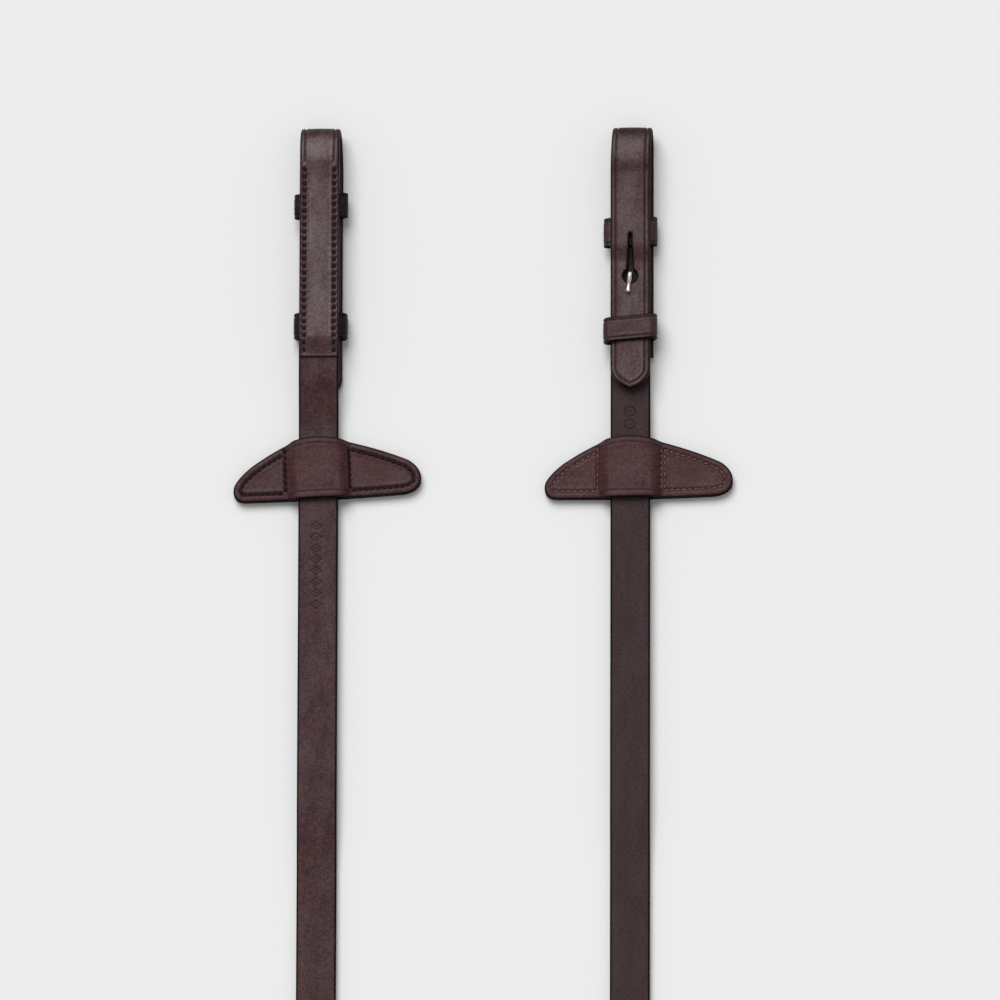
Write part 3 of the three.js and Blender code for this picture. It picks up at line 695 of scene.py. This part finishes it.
def rein_points(side):
    """(x, y, z, roll) down the free rein: straight, twisted on edge, coiled, then its inner end."""
    x = REIN_X[side]
    knots = [(-y_at(along), z) for along, z in STRAIGHT[side]] + [(-y, z) for y, z, _ in TWIST]
    rolls = [(-y_at(REIN_FROM), 0)] + [(-y, roll) for y, _, roll in TWIST]
    down = np.arange(-y_at(REIN_FROM), 268, 1.0)
    made = [(x, -d, z, r) for d, z, r in zip(down, eased(knots, down), eased(rolls, down))]
    z = COIL["z"]
    if side == "right":
        made += [(x, y, z, 90) for y in np.arange(-268, COIL["y"], -2.0)]
        start, lane = 0.0, RIGHT_LANE
    else:
        for a in np.radians(np.arange(0, 90, 2.0)):
            made.append((x + TURN_IN * (1 - math.cos(a)), -268 - TURN_IN * math.sin(a), z, 90))
        start, lane = -0.25, LEFT_LANE
    for t in np.arange(start, COIL["turns"], 1 / 240):
        made.append((*coil_point(lane - COIL["pitch"] * t, 360 * (t - COIL["turns"])), z, 90))
    lane -= COIL["pitch"] * COIL["turns"]
    if side == "right":
        for degrees in np.arange(0, 145, 1.5):
            radius = lane + (RIGHT_INNER - lane) * smooth(degrees / RIGHT_EASE)
            made.append((*coil_point(radius, degrees), z, 90))
        return made
    centre = COIL["y"] - lane + LEFT_BEND
    for degrees in np.arange(0, LEFT_ANGLE, 2.0):
        lift = LEFT_RISE * smooth((degrees - POINT_FROM) / (LEFT_ANGLE - POINT_FROM))
        made.append((*coil_point(LEFT_BEND, degrees, cy=centre), z + lift, 90))
    x, y = coil_point(LEFT_BEND, LEFT_ANGLE, cy=centre)
    a = math.radians(LEFT_ANGLE)
    for ahead in np.arange(0, BAR_AHEAD - CHAPE_STOP + 0.1, 1.0):
        made.append((x - ahead * math.cos(a), y + ahead * math.sin(a), z + LEFT_RISE, 90))
    return made


def rein_path(side):
    route = np.array(rein_points(side))
    line, roll = route[:, :3], np.radians(route[:, 3:])
    ahead = unit(np.gradient(line, axis=0))
    right = unit(np.cross(ahead, [0, 0, 1.0]))
    up = np.cross(right, ahead)
    return Path(line, np.sin(roll) * up - np.cos(roll) * right, np.cos(roll) * up + np.sin(roll) * right)


def lozenges(s, u):
    """A tooled row of lozenges, the maker's generic mark on the grain side."""
    low, high = (v - REIN_FROM for v in MARKS["left"])
    pitch = 4.6
    t = (s - low) % pitch - pitch / 2
    ring = abs(abs(t) / 2.1 + abs(u + 0.6) / 2.5 - 0.8)
    lines = np.exp(-((ring / 0.14) ** 2)) + np.exp(-((t / 0.5) ** 2 + ((u + 0.6) / 0.5) ** 2))
    return -0.26 * np.clip(lines, 0, 1) * ((s > low) & (s < high))


def rings(s, u):
    """Two small stamped rings on the flesh side."""
    low, high = (v - REIN_FROM for v in MARKS["right"])
    sunk = 0
    for at in (low + 3.0, high - 2.7):
        reach = np.hypot(s - at, (u + 0.2) * 0.9)
        sunk = sunk + np.exp(-(((reach - 1.9) / 0.38) ** 2)) + 0.7 * np.exp(-((reach / 0.5) ** 2))
    return -0.22 * np.clip(sunk, 0, 1)


def stations(length, fine):
    """Places along a strap, closer together where something is stamped in it."""
    low, high = fine[0] - REIN_FROM - 1, fine[1] - REIN_FROM + 1
    rest = np.arange(high, length - 1.5, 3.0)
    return np.concatenate([np.arange(0, low, 3.0), np.arange(low, high, 0.36), rest, [length]])


REIN_PATHS = {side: rein_path(side) for side in SIDES}


def rein_end(side):
    """Length of the free rein's mesh: up to the buckle's chape, or to where the punched end starts."""
    path = REIN_PATHS[side]
    if side == "left":
        return path.s[-1]
    wound = COIL["pitch"] * COIL["turns"]
    radius = RIGHT_LANE - wound + (RIGHT_INNER - RIGHT_LANE + wound) * smooth(POINT_FROM / RIGHT_EASE)
    start = np.array(coil_point(radius, POINT_FROM))
    tail = path.s > REIN_LENGTH - REIN_FROM - 220
    return path.s[tail][np.argmin(np.linalg.norm(path.line[tail, :2] - start, axis=1))]


REIN_ENDS = {side: rein_end(side) for side in SIDES}
REINS = {}
for side in SIDES:
    along = stations(REIN_ENDS[side], MARKS[side])
    up, relief = ("grain", lozenges) if side == "left" else ("flesh", rings)
    REINS[side] = strap(f"{side}_rein", REIN_PATHS[side], along, STRAP["wide"], STRAP["thick"],
                        STRAP["round"], STRAP_LEATHER, up, relief, body="reins")
    REINS[side]["stations"] = along.tolist()
    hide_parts(f"{side}_rein_strap", f"{side}_rein_tail", "rein_coil")
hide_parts("left_coil_end")

# ---- bit ends ------------------------------------------------------------------------------------

EYE = {"nose": 1.5, "flat": 14.0, "mid": 6.0, "top": {"left": 10.2, "right": 10.8}}


def billet_line(side):
    """(y, z) down the outer strap: under the sewn layers, round the eye and out along the tab."""
    start, end = UPPER_KEEPER[side]
    swell = 0.3 if side == "left" else 0.0
    under = [(SEWN[1], BILLET_Z), (19, BILLET_Z), (EYE["flat"] - 1, BILLET_Z - swell)]
    along = np.arange(SEWN[1], EYE["flat"], -0.5)
    line = [(y_at(a), z) for a, z in zip(along, eased([(-a, z) for a, z in under], -along))]
    length = EYE["flat"] - EYE["nose"]
    top = EYE["top"][side]
    for a in np.radians(np.linspace(-90, 90, 60)):
        half = EYE["mid"] - BILLET_Z + swell if a < 0 else top - EYE["mid"]
        line.append((y_at(EYE["flat"] - length * math.cos(a)), EYE["mid"] + half * math.sin(a)))
    tip = TAB_Z + (1.2 if side == "left" else 0.0)
    over = [(EYE["flat"], top), (20, (top + 9.85) / 2), (start - 3, 9.85), (end, 9.85),
            (end + 7, TAB_Z), (90, TAB_Z), (104, tip), (TAB_TIP[side] + 1, tip)]
    along = np.arange(EYE["flat"] + 0.5, TAB_TIP[side] + 0.6, 0.5)
    line += [(y_at(a), z) for a, z in zip(along, eased(over, along))]
    return line


def billet_path(side):
    """The whole billet's path; its sideways shift eases from the outer layer's to the tab's."""
    line = np.array(billet_line(side))
    nose = int(np.argmax(line[:, 0]))
    share = smooth((np.arange(len(line)) - nose + 20) / 60.0)
    shift = SHIFT[side]
    x = shift["outer"] + (shift["tab"] - shift["outer"]) * share
    points = np.column_stack([x, line])
    ahead = unit(np.gradient(points, axis=0))
    wide = np.tile([1.0, 0, 0], (len(points), 1))
    out = unit(np.cross(ahead, wide))
    return Path(bit_end(side, points), wide * FLIP[side], out * FLIP[side])


def split_at(path, along):
    """Where the path crosses a distance along the rein, on its tab side."""
    y = path.line[:, 1]
    nose = int(np.argmax(y))
    return float(np.interp(-y_at(along), -y[nose:], path.s[nose:]))


def rectangle(s0, s1, half):
    return [(s0, -half), (s1, -half), (s1, half), (s0, half)]


def pointed(s0, tip, half, length=8.0):
    """A strap outline whose far end comes to a rounded point."""
    low = quadratic([(tip - length, -half), ((tip - 2.4, -half + 0.8), (tip, 0)),
                     ((tip - 2.4, half - 0.8), (tip - length, half))])
    return [(s0, -half), *low, (s0, half)]


def keyhole(at, slit):
    """A slit that widens into a round hole, clockwise so that it is a hole."""
    mouth = KEYHOLE["wide"]
    turn = math.degrees(math.asin(mouth / KEYHOLE["radius"]))
    ring = arc(at, 0, KEYHOLE["radius"], 180 - turn, -180 + turn, 22)
    return [(slit, -KEYHOLE["narrow"]), (slit, KEYHOLE["narrow"]), *ring]


def dome(height, half):
    return lambda s, u, d: height * (1 - np.clip(abs(u) / half, 0, 1) ** 2)


def skived(path):
    """Lays leather whose first few millimetres are pared thin from the grain side."""
    def place(s, u, h):
        pared = 2.0 * (1 - smooth(s / 8)) / BILLET["thick"]
        return path(s, u, h - pared * (h + BILLET["thick"] / 2))
    return place


def plumped(side):
    """The left billet lies sewn face up, plumped between its seams; the right one's is flat on the floor."""
    half = BILLET["wide"] / 2
    if side == "left":
        return lambda s, u, d: dome(0.6, half)(s, u, d) * (1 - 0.5 * smooth((s - 80) / 12))
    return lambda s, u, d: dome(0.35, half)(s, u, d) * smooth((s - 88) / 8)


def painted_shade_bands(side, nose, sewn_end):
    """Bands of painted shade: round the eye, where its nose turns away from the light, and a fainter band
    near the keeper on the right rein and near the sewn end on the left.
    """
    band = nose + 17.5 if side == "right" else sewn_end - 4
    return lambda s, u: 0.8 * dip(s - nose - 0.5, 4.6) + 0.3 * dip(s - band, 2.6)


def seam_spots():
    """Stitches down both edges of the sewn layers, in the billet's coordinates."""
    spots = []
    for u in (-1, 1):
        across = u * (BILLET["wide"] / 2 - STITCH["in"])
        spots += row((0.9, across), (SEWN[1] - SEWN[0], across), STITCH["pitch"], 0.14 * u)
    return spots


for side in SIDES:
    path = billet_path(side)
    half = BILLET["wide"] / 2
    split = split_at(path, TAB_SPLIT)
    seams = seam_spots()
    look = {"thick": BILLET["thick"], "radius": BILLET["round"], "step": (0.45, 0.3)}
    pressed = crease()
    sewn_end = SEWN[1] - SEWN[0] + 1.2
    plump = plumped(side)
    # dark: the painted shade bands round the eye and below it
    dark = painted_shade_bands(side, float(path.s[np.argmax(path.line[:, 1])]), sewn_end)
    outer = panel(f"{side}_billet", rectangle(0, split, half), skived(path), material=BILLET_LEATHER[side],
                  body="reins", open_ends=(0, split), shade=dark,
                  relief=[lambda s, u, d, e=sewn_end: pressed(s, u, half - abs(u)) * smooth((s - e) / 1.5),
                          pits(seams, 0.6, (1.22, 0.8), rim=0.24 if side == "left" else 0), plump], **look)
    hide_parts(f"{side}_billet_outer")
    sewing = stitches(f"{side}_billet_stitching", seams, skived(path), BILLET["thick"] / 2, DARK_THREAD,
                      "reins", radius=0.5, sunk=0.54)
    tip = path.s[-1] - 0.6
    hole = keyhole(split_at(path, KEYHOLE["at"]), split_at(path, KEYHOLE["slit"]))
    tab = panel(f"{side}_tab", pointed(split, tip, half), path, material=BILLET_LEATHER[side], holes=[hole],
                open_ends=(split,), shade=dark, relief=[pressed, plump], **look)
    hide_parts(f"{side}_billet_tab")
    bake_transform(tab)

# ---- what lies between and on the sewn layers ----------------------------------------------------

HEIGHT = {"plate": 3.8, "hook": 11.1, "foot": 4.0}


def sewn_strap(side):
    """The rein's own end, sewn between the billet's layers."""
    x, _, z = REIN_PATHS[side].line[0]
    ends = [[x, y_at(SEWN[0]), z], [x, y_at(REIN_FROM), z]]
    path = Path(ends, [[1, 0, 0]] * 2, [[0, 0, 1]] * 2)
    up = "grain" if side == "left" else "flesh"
    made = strap(f"{side}_sewn_strap", path, np.linspace(0, REIN_FROM - SEWN[0], 24), STRAP["wide"],
                 STRAP["thick"], STRAP["round"], STRAP_LEATHER, up, body="reins")
    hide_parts(f"{side}_rein_strap")


def hook_stud(side):
    """A plate between the layers, its shank, and the hook that ends in a small ball."""
    y, top, wire = y_at(HOOK["at"]), HEIGHT["hook"], HOOK["wire"]
    profile = [(0, HEIGHT["plate"]), (0, 6.8), (0, top - 1.7), (0.3, top - 0.65), (1.1, top - 0.05),
               (2.4, top), (4.4, top - 0.05), (HOOK["reach"] + 1, top - 0.12)]
    line = curved([(-0.11 * ahead, y - ahead, z) for ahead, z in profile], 60)
    s = np.concatenate([[0], np.cumsum(np.linalg.norm(np.diff(line, axis=0), axis=1))])
    left = s[-1] - s
    ball = HOOK["ball"]
    neck = wire * (1 - 0.28 * dip(left - 3.2, 1.6))
    bulb = np.sqrt(np.maximum(ball**2 - (left - ball) ** 2, 0.004))
    radii = np.where(left < 2 * ball, np.maximum(bulb, np.where(left > ball, neck, 0)), neck)
    made = tube(f"{side}_hook", bit_end(side, line), radii, NICKEL, "reins", around=20)
    plate = [(0, y, HEIGHT["plate"] + z) for z in (-0.4, -0.32, 0, 0.32, 0.4)]
    edge = [HOOK["plate"] - down for down in (0.3, 0.05, 0.0, 0.05, 0.3)]
    disc = tube(f"{side}_hook_plate", bit_end(side, plate), edge, NICKEL, "reins", around=32)
    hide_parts(f"{side}_hook_stud")


def keeper(side, name, sizes):
    """A band over the hook side, its ends tucked between the layers."""
    start, end = sizes[side]
    half, top, thick = sizes["half"], sizes["top"], sizes["thick"]
    x0, wide = SHIFT[side]["tab"] / 2, end - start
    foot = HEIGHT["foot"]
    bends = [(x0 - 4.5, 0, foot), (x0 - half, 0, foot), (x0 - half, 0, top), (x0 + half, 0, top),
             (x0 + half, 0, foot), (x0 + 4.5, 0, foot)]
    line = dense(rounded(bends, 2.4), 0.4) + [0, y_at((start + end) / 2), 0]
    path = path_in_plane(line, [0, 1.0, 0])
    path = Path(bit_end(side, path.line), path.wide, path.out * FLIP[side])
    skew = KEEPER_SKEW[side] if name == "lower" else 0.03

    def place(s, u, h):
        at = path(s, u, h)
        at[..., 1] += skew * (at[..., 0] - REIN_X[side])
        return at

    # dark is how much painted shade falls on the keeper's side walls, deeper on the left rein
    length, dark = path.s[-1], 0.8 if side == "left" else 0.5
    made = panel(f"{side}_{name}_keeper", rectangle(0, length, wide / 2), place, thick, KEEPER_LEATHER,
                 step=(0.5, 0.35), relief=[crease(1.5, 0.3, 0.32), dome(0.2, wide / 2)],
                 radius=min(0.7, thick / 2 - 0.05), body="reins",
                 shade=lambda s, u: dark * smooth((abs(s - length / 2) - half + 1.4) / 1.8))
    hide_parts(f"{side}_{name}_keeper")


for side in SIDES:
    sewn_strap(side)
    hook_stud(side)
    keeper(side, "upper", UPPER_KEEPER)
    keeper(side, "lower", LOWER_KEEPER)

# ---- rein stops ----------------------------------------------------------------------------------

STOP_SEAM = {"left": {"low": (-13.4,), "high": (12.3,)}, "right": {"low": (-13.2,), "high": (12.1, 13.9)}}
STOP_STITCH = {"in": 3.0, "pitch": 2.45}


def stop_outline():
    """Anticlockwise from the strap's centre line at the edge nearer the bit."""
    line = quadratic([(0, 0.3), ((6, 0.2), (11, -1.3)), ((26, -5.2), (36.5, -10)), ((42.6, -14), (41, -19.5)),
                      ((39.7, -23), (34, -23.8)), ((10, -25.2), (-30, -25)), ((-35.5, -24.7), (-34.5, -19)),
                      ((-33.4, -15.5), (-27, -10.5)), ((-17, -3.8), (-9.5, -1.0)), ((-5, 0.3), (0, 0.3))])
    return line[:-1][::-1]


def stop_place(side, height):
    """Lays stop leather: height(x) is its middle's height over the surface."""
    turn = math.radians(STOP_TILT[side])
    c, w, mid = math.cos(turn), math.sin(turn), STOP["depth"] / 2

    def place(x, y, h):
        slope = (height(x + 0.05) - height(x - 0.05)) / 0.1
        steep = np.sqrt(1 + slope**2)
        px, pz = x - h * slope / steep, height(x) + h / steep
        across, along = px * c - (y + mid) * w, px * w + (y + mid) * c
        return np.stack([REIN_X[side] + across, y_at(STOP["at"] + mid) + along, pz], axis=-1)

    return place


def arch(x):
    """Height of the front layer's middle: flat wings and the arch that the strap runs through."""
    wing = 1.5 * STOP["layer"] + 0.3
    rise = smooth((STOP["foot"] - abs(x)) / (STOP["foot"] - STOP["shoulder"]))
    return wing + (STOP["rise"] + STOP["crown"] * (1 - (x / STOP["foot"]) ** 2)) * rise


def along_line(points, pitch):
    """Stitch spots evenly spaced along a line, each turned with it."""
    p = dense(points, 0.2)
    s = np.linspace(0, 1, len(p))
    count = max(2, round(len(p) * np.linalg.norm(p[1] - p[0]) / pitch))
    at = (np.arange(count) + 0.5) / count
    dx, dy = (np.interp(at + 0.01, s, p[:, k]) - np.interp(at - 0.01, s, p[:, k]) for k in (0, 1))
    turn = np.arctan2(dy, dx)
    return [(np.interp(a, s, p[:, 0]), np.interp(a, s, p[:, 1]), t + 0.16) for a, t in zip(at, turn)]


def stop_seams(side, outline):
    """Each wing is stitched round its border and down beside the arch."""
    border = inset(resampled(outline, 1.0), STOP_STITCH["in"])
    spots = []
    for hand, places in ((-1, STOP_SEAM[side]["low"]), (1, STOP_SEAM[side]["high"])):
        edge = places[0] + hand * 0.4
        wing = border[(border[:, 0] - edge) * hand > 0]
        gap = int(np.argmax(np.linalg.norm(np.roll(wing, -1, axis=0) - wing, axis=1)))
        wing = np.roll(wing, -gap - 1, axis=0)
        spots += along_line(wing, STOP_STITCH["pitch"])
        for x in places:
            spots += row((x, wing[:, 1].min() + 0.4), (x, -4.0 - 0.4 * hand), STOP_STITCH["pitch"], 0.16)
    return spots


for side in SIDES:
    outline = stop_outline()
    seams = stop_seams(side, outline)
    over, under = stop_place(side, arch), stop_place(side, lambda x: 0 * x + STOP["layer"] / 2)
    pressed = crease(2.7, 0.22, 0.3)
    look = {"thick": STOP["layer"], "material": STOP_LEATHER, "radius": 0.7, "body": f"{side}_stop"}
    front = panel(f"{side}_rein_stop", outline, over, step=(0.42, 0.45),
                  relief=[lambda s, u, d: pressed(s, u, d) * smooth((12.6 - abs(s)) / 1.0),
                          pits(seams, 0.55 if side == "left" else 0.28, (1.2, 0.8))], **look)
    back = panel(f"{side}_rein_stop_back", outline, under, step=(1.2, 1.2), **look)
    sewn_with = DARK_THREAD if side == "left" else RED_THREAD
    rows = stitches(f"{side}_rein_stop_stitching", seams, over, STOP["layer"] / 2, sewn_with, f"{side}_stop",
                    length=1.85, radius=0.46, sunk=0.5 if side == "left" else 0.2)
    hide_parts(f"{side}_stop_front")
    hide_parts(f"{side}_stop_back")

# ---- the reins' inner ends -----------------------------------------------------------------------

BUCKLE = {"wire": 1.3, "inner": 8.3, "length": 15.5}
POINT_HOLES = {"radius": 1.6, "count": 5, "pitch": 12, "from_tip": 24}


def punched_point():
    """The right rein's punched and pointed end, which the buckle takes when the reins are joined."""
    path = REIN_PATHS["right"]
    start, tip = REIN_ENDS["right"], REIN_LENGTH - REIN_FROM
    centres = [tip - POINT_HOLES["from_tip"] - POINT_HOLES["pitch"] * k for k in range(POINT_HOLES["count"])]
    holes = [arc(s, 0, POINT_HOLES["radius"], 180, -160, 18) for s in centres]
    outline = pointed(start, tip, STRAP["wide"] / 2, 9)
    made = panel("right_punched_end", outline, lambda s, u, h: path(s, -u, -h), STRAP["thick"], STRAP_LEATHER,
                 holes=holes, step=(1.0, 0.45), radius=STRAP["round"], body="reins", open_ends=(start,),
                 relief=[lambda s, u, d: crease()(s, u, d) * smooth((s - start) / 6)])
    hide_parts("right_end_point")
    return made


def buckle_place(points):
    """Turns points about the buckle's bar, with the strap along +x, into the model."""
    points = np.asarray(points, float)
    bend_y = COIL["y"] - LEFT_LANE + COIL["pitch"] * COIL["turns"] + LEFT_BEND
    x, y = coil_point(LEFT_BEND, LEFT_ANGLE, cy=bend_y)
    a = math.radians(180 - LEFT_ANGLE)
    turned = points @ np.array([[math.cos(a), math.sin(a), 0], [-math.sin(a), math.cos(a), 0], [0, 0, 1]])
    return turned + [x, y, COIL["z"] + LEFT_RISE]


def buckle_path(points, wide):
    path = path_in_plane(points, wide)
    line = buckle_place(path.line)
    origin = buckle_place([[0, 0, 0]])
    return Path(line, buckle_place(path.wide) - origin, buckle_place(path.out) - origin)


def chape():
    """Leather folded round the bar and sewn to both faces of the strap, slotted for the tongue."""
    radius = 3.0
    turn = np.radians(np.linspace(90, -90, 24))
    bend = [(BAR_AHEAD + radius * math.cos(a), radius * math.sin(a), 0) for a in turn]
    line = dense([(BAR_AHEAD - CHAPE_LEG, radius, 0), *bend, (BAR_AHEAD - CHAPE_LEG, -radius, 0)], 0.4)
    path = buckle_path(line, [0, 0, -1.0])
    length, half = path.s[-1], STRAP["wide"] / 2
    low, high = CHAPE_LEG - 3.2, length - CHAPE_LEG + 3.2
    slot = [(low, -1.9), *arc(low, 0, 1.9, -90, -270, 8)[1:-1], (low, 1.9),
            (high, 1.9), *arc(high, 0, 1.9, 90, -90, 8)[1:-1], (high, -1.9)]
    spots = []
    for s0, s1 in ((1.8, 24.0), (length - 24.0, length - 1.8)):
        for u in (-6.0, 6.0):
            spots += row((s0, u), (s1, u), STITCH["pitch"], 0.14)
    for s in (2.4, length - 2.4):
        spots += row((s, -4.6), (s, 4.6), STITCH["pitch"])
    made = panel("left_chape", rectangle(0, length, half), path, 2.2, BILLET_LEATHER["left"], holes=[slot],
                 step=(0.6, 0.42), relief=[pits(spots), dome(0.2, half)], body="reins")
    sewing = stitches("left_chape_stitching", spots, path, 1.2, DARK_THREAD, "reins", sunk=0.36)
    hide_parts("left_end_chape")
    return [made, sewing]


def end_keeper():
    """The loop beside the buckle that holds the point."""
    x, y, z = BAR_AHEAD - 17, 5.15, 9.05
    line = dense(rounded([(x, -y, 0), (x, -y, z), (x, y, z), (x, y, -z), (x, -y, -z), (x, -y, 0)], 2.2), 0.4)
    path = buckle_path(line, [-1.0, 0, 0])
    made = panel("left_end_keeper_band", rectangle(0, path.s[-1], 4.5), path, 1.5, KEEPER_LEATHER,
                 step=(0.5, 0.4), relief=[crease(1.4, 0.22, 0.28)], radius=0.65, body="reins")
    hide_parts("left_end_keeper")
    return made


def centre_buckle():
    """A cast nickel frame on its bar and the flat-eyed tongue that turns on it."""
    wire, half = BUCKLE["wire"], BUCKLE["inner"] + BUCKLE["wire"]
    far = BAR_AHEAD + BUCKLE["length"]
    sides = [(BAR_AHEAD, 0, -half), (far, 0, -half), (far, 0, half), (BAR_AHEAD, 0, half)]
    loop = rounded(sides, 2.6, closed=True, count=9)
    loop = dense(np.vstack([loop, loop[:1]]), 0.8)[:-1]
    radii = wire * (1 + 0.1 * dip(loop[:, 0] - far, 1.0))
    made = tube("buckle", buckle_place(loop), radii, NICKEL, "buckle_frame_body", around=20, closed=True)
    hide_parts("buckle_frame")
    turn = np.linspace(0, 2 * math.pi, 36, endpoint=False)
    ring = [(BAR_AHEAD + 2.15 * math.cos(a), 2.15 * math.sin(a), 0) for a in turn]
    eye = tube("buckle_tongue_loop", buckle_place(ring), 0.45, NICKEL, "buckle_tongue_body", around=16,
               closed=True, flatten=3.2)
    pin = curved([(BAR_AHEAD + 1.9, -0.5, 0), (BAR_AHEAD + 5, -0.95, 0), (far - 3.5, -2.1, 0),
                  (far + 0.6, -2.55, 0), (far + 1.9, -2.45, 0)], 30)
    taper = np.interp(np.linspace(0, 1, 30), [0, 0.3, 0.85, 0.97, 1], [1.05, 1.0, 0.85, 0.6, 0.2])
    tongue = tube("buckle_pin", buckle_place(pin), taper, NICKEL, "buckle_tongue_body", around=16)
    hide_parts("buckle_tongue")
    return [made, eye, tongue]


def coil_tie():
    """A woven band round the coil, its end lapped over on the outside."""
    inner, outer, low, high = 72.1, 90.65, 0.5, 18.1
    a = math.radians(-45)
    across = np.array([math.cos(a), math.sin(a), 0])
    centre = np.array([COIL["x"], COIL["y"], 0])

    def band(bends, name, lift):
        flat = dense(rounded(bends, 2.2), 0.6)
        line = centre + flat[:, :1] * across + flat[:, 1:] * np.array([0, 0, 1.0])
        path = path_in_plane(line, np.cross([0, 0, 1.0], across))
        return panel(name, rectangle(0, path.s[-1], 6), lambda s, u, h: path(s, u, h + lift), 1.0, TAPE,
                     step=(0.7, 0.7), radius=0.4, body="reins")

    middle_z = (low + high) / 2
    round_coil = [(outer, middle_z - 3), (outer, low), (inner, low), (inner, high), (outer, high),
                  (outer, middle_z - 2.9)]
    made = band(round_coil, "coil_band", 0)
    lap = band([(outer - 9, high), (outer, high), (outer, middle_z - 6)], "coil_band_end", 1.02)
    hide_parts("coil_tie")
    return [made, lap]


ON_LEFT = [*chape(), end_keeper(), *centre_buckle()]
ON_RIGHT = [punched_point(), *coil_tie()]

# ---- floor, light and the end --------------------------------------------------------------------


def add_floor():
    bpy.ops.mesh.primitive_plane_add(size=60)
    floor = bpy.context.object
    floor.name = "floor"
    floor.data.materials.append(floor_paint())


def add_sun(azimuth, elevation, spread, strength):
    """A very large soft box far away, the same wherever the reins are seen from; azimuth 90 is +Y."""
    data = bpy.data.lights.new("key", "SUN")
    data.angle, data.energy = math.radians(spread), strength
    light = bpy.data.objects.new("key", data)
    a, e = math.radians(azimuth), math.radians(elevation)
    away = Vector((math.cos(a) * math.cos(e), math.sin(a) * math.cos(e), math.sin(e)))
    light.location = away * 3
    light.rotation_euler = away.to_track_quat("Z", "Y").to_euler()
    bpy.context.scene.collection.objects.link(light)


def add_studio():
    world = bpy.data.worlds.new("studio")
    world.use_nodes = True
    world.node_tree.nodes["Background"].inputs["Color"].default_value = (1, 1, 1, 1)
    world.node_tree.nodes["Background"].inputs["Strength"].default_value = 0.4
    bpy.context.scene.world = world
    add_sun(112, 54, 42, 2.45)
    bpy.context.scene.view_settings.view_transform = "Standard"


add_floor()
add_studio()


def declare_reins():
    """Works out each free rein's centre line in metres at its stations, and where its sewn end starts;
    neither is kept.
    """
    for side in SIDES:
        path = REIN_PATHS[side]
        along = np.array(REINS[side]["stations"])
        line = path(along, 0 * along, 0 * along) * MM
        start = path(np.array([SEWN[1] - REIN_FROM]), np.zeros(1), np.zeros(1))[0] * MM


declare_reins()
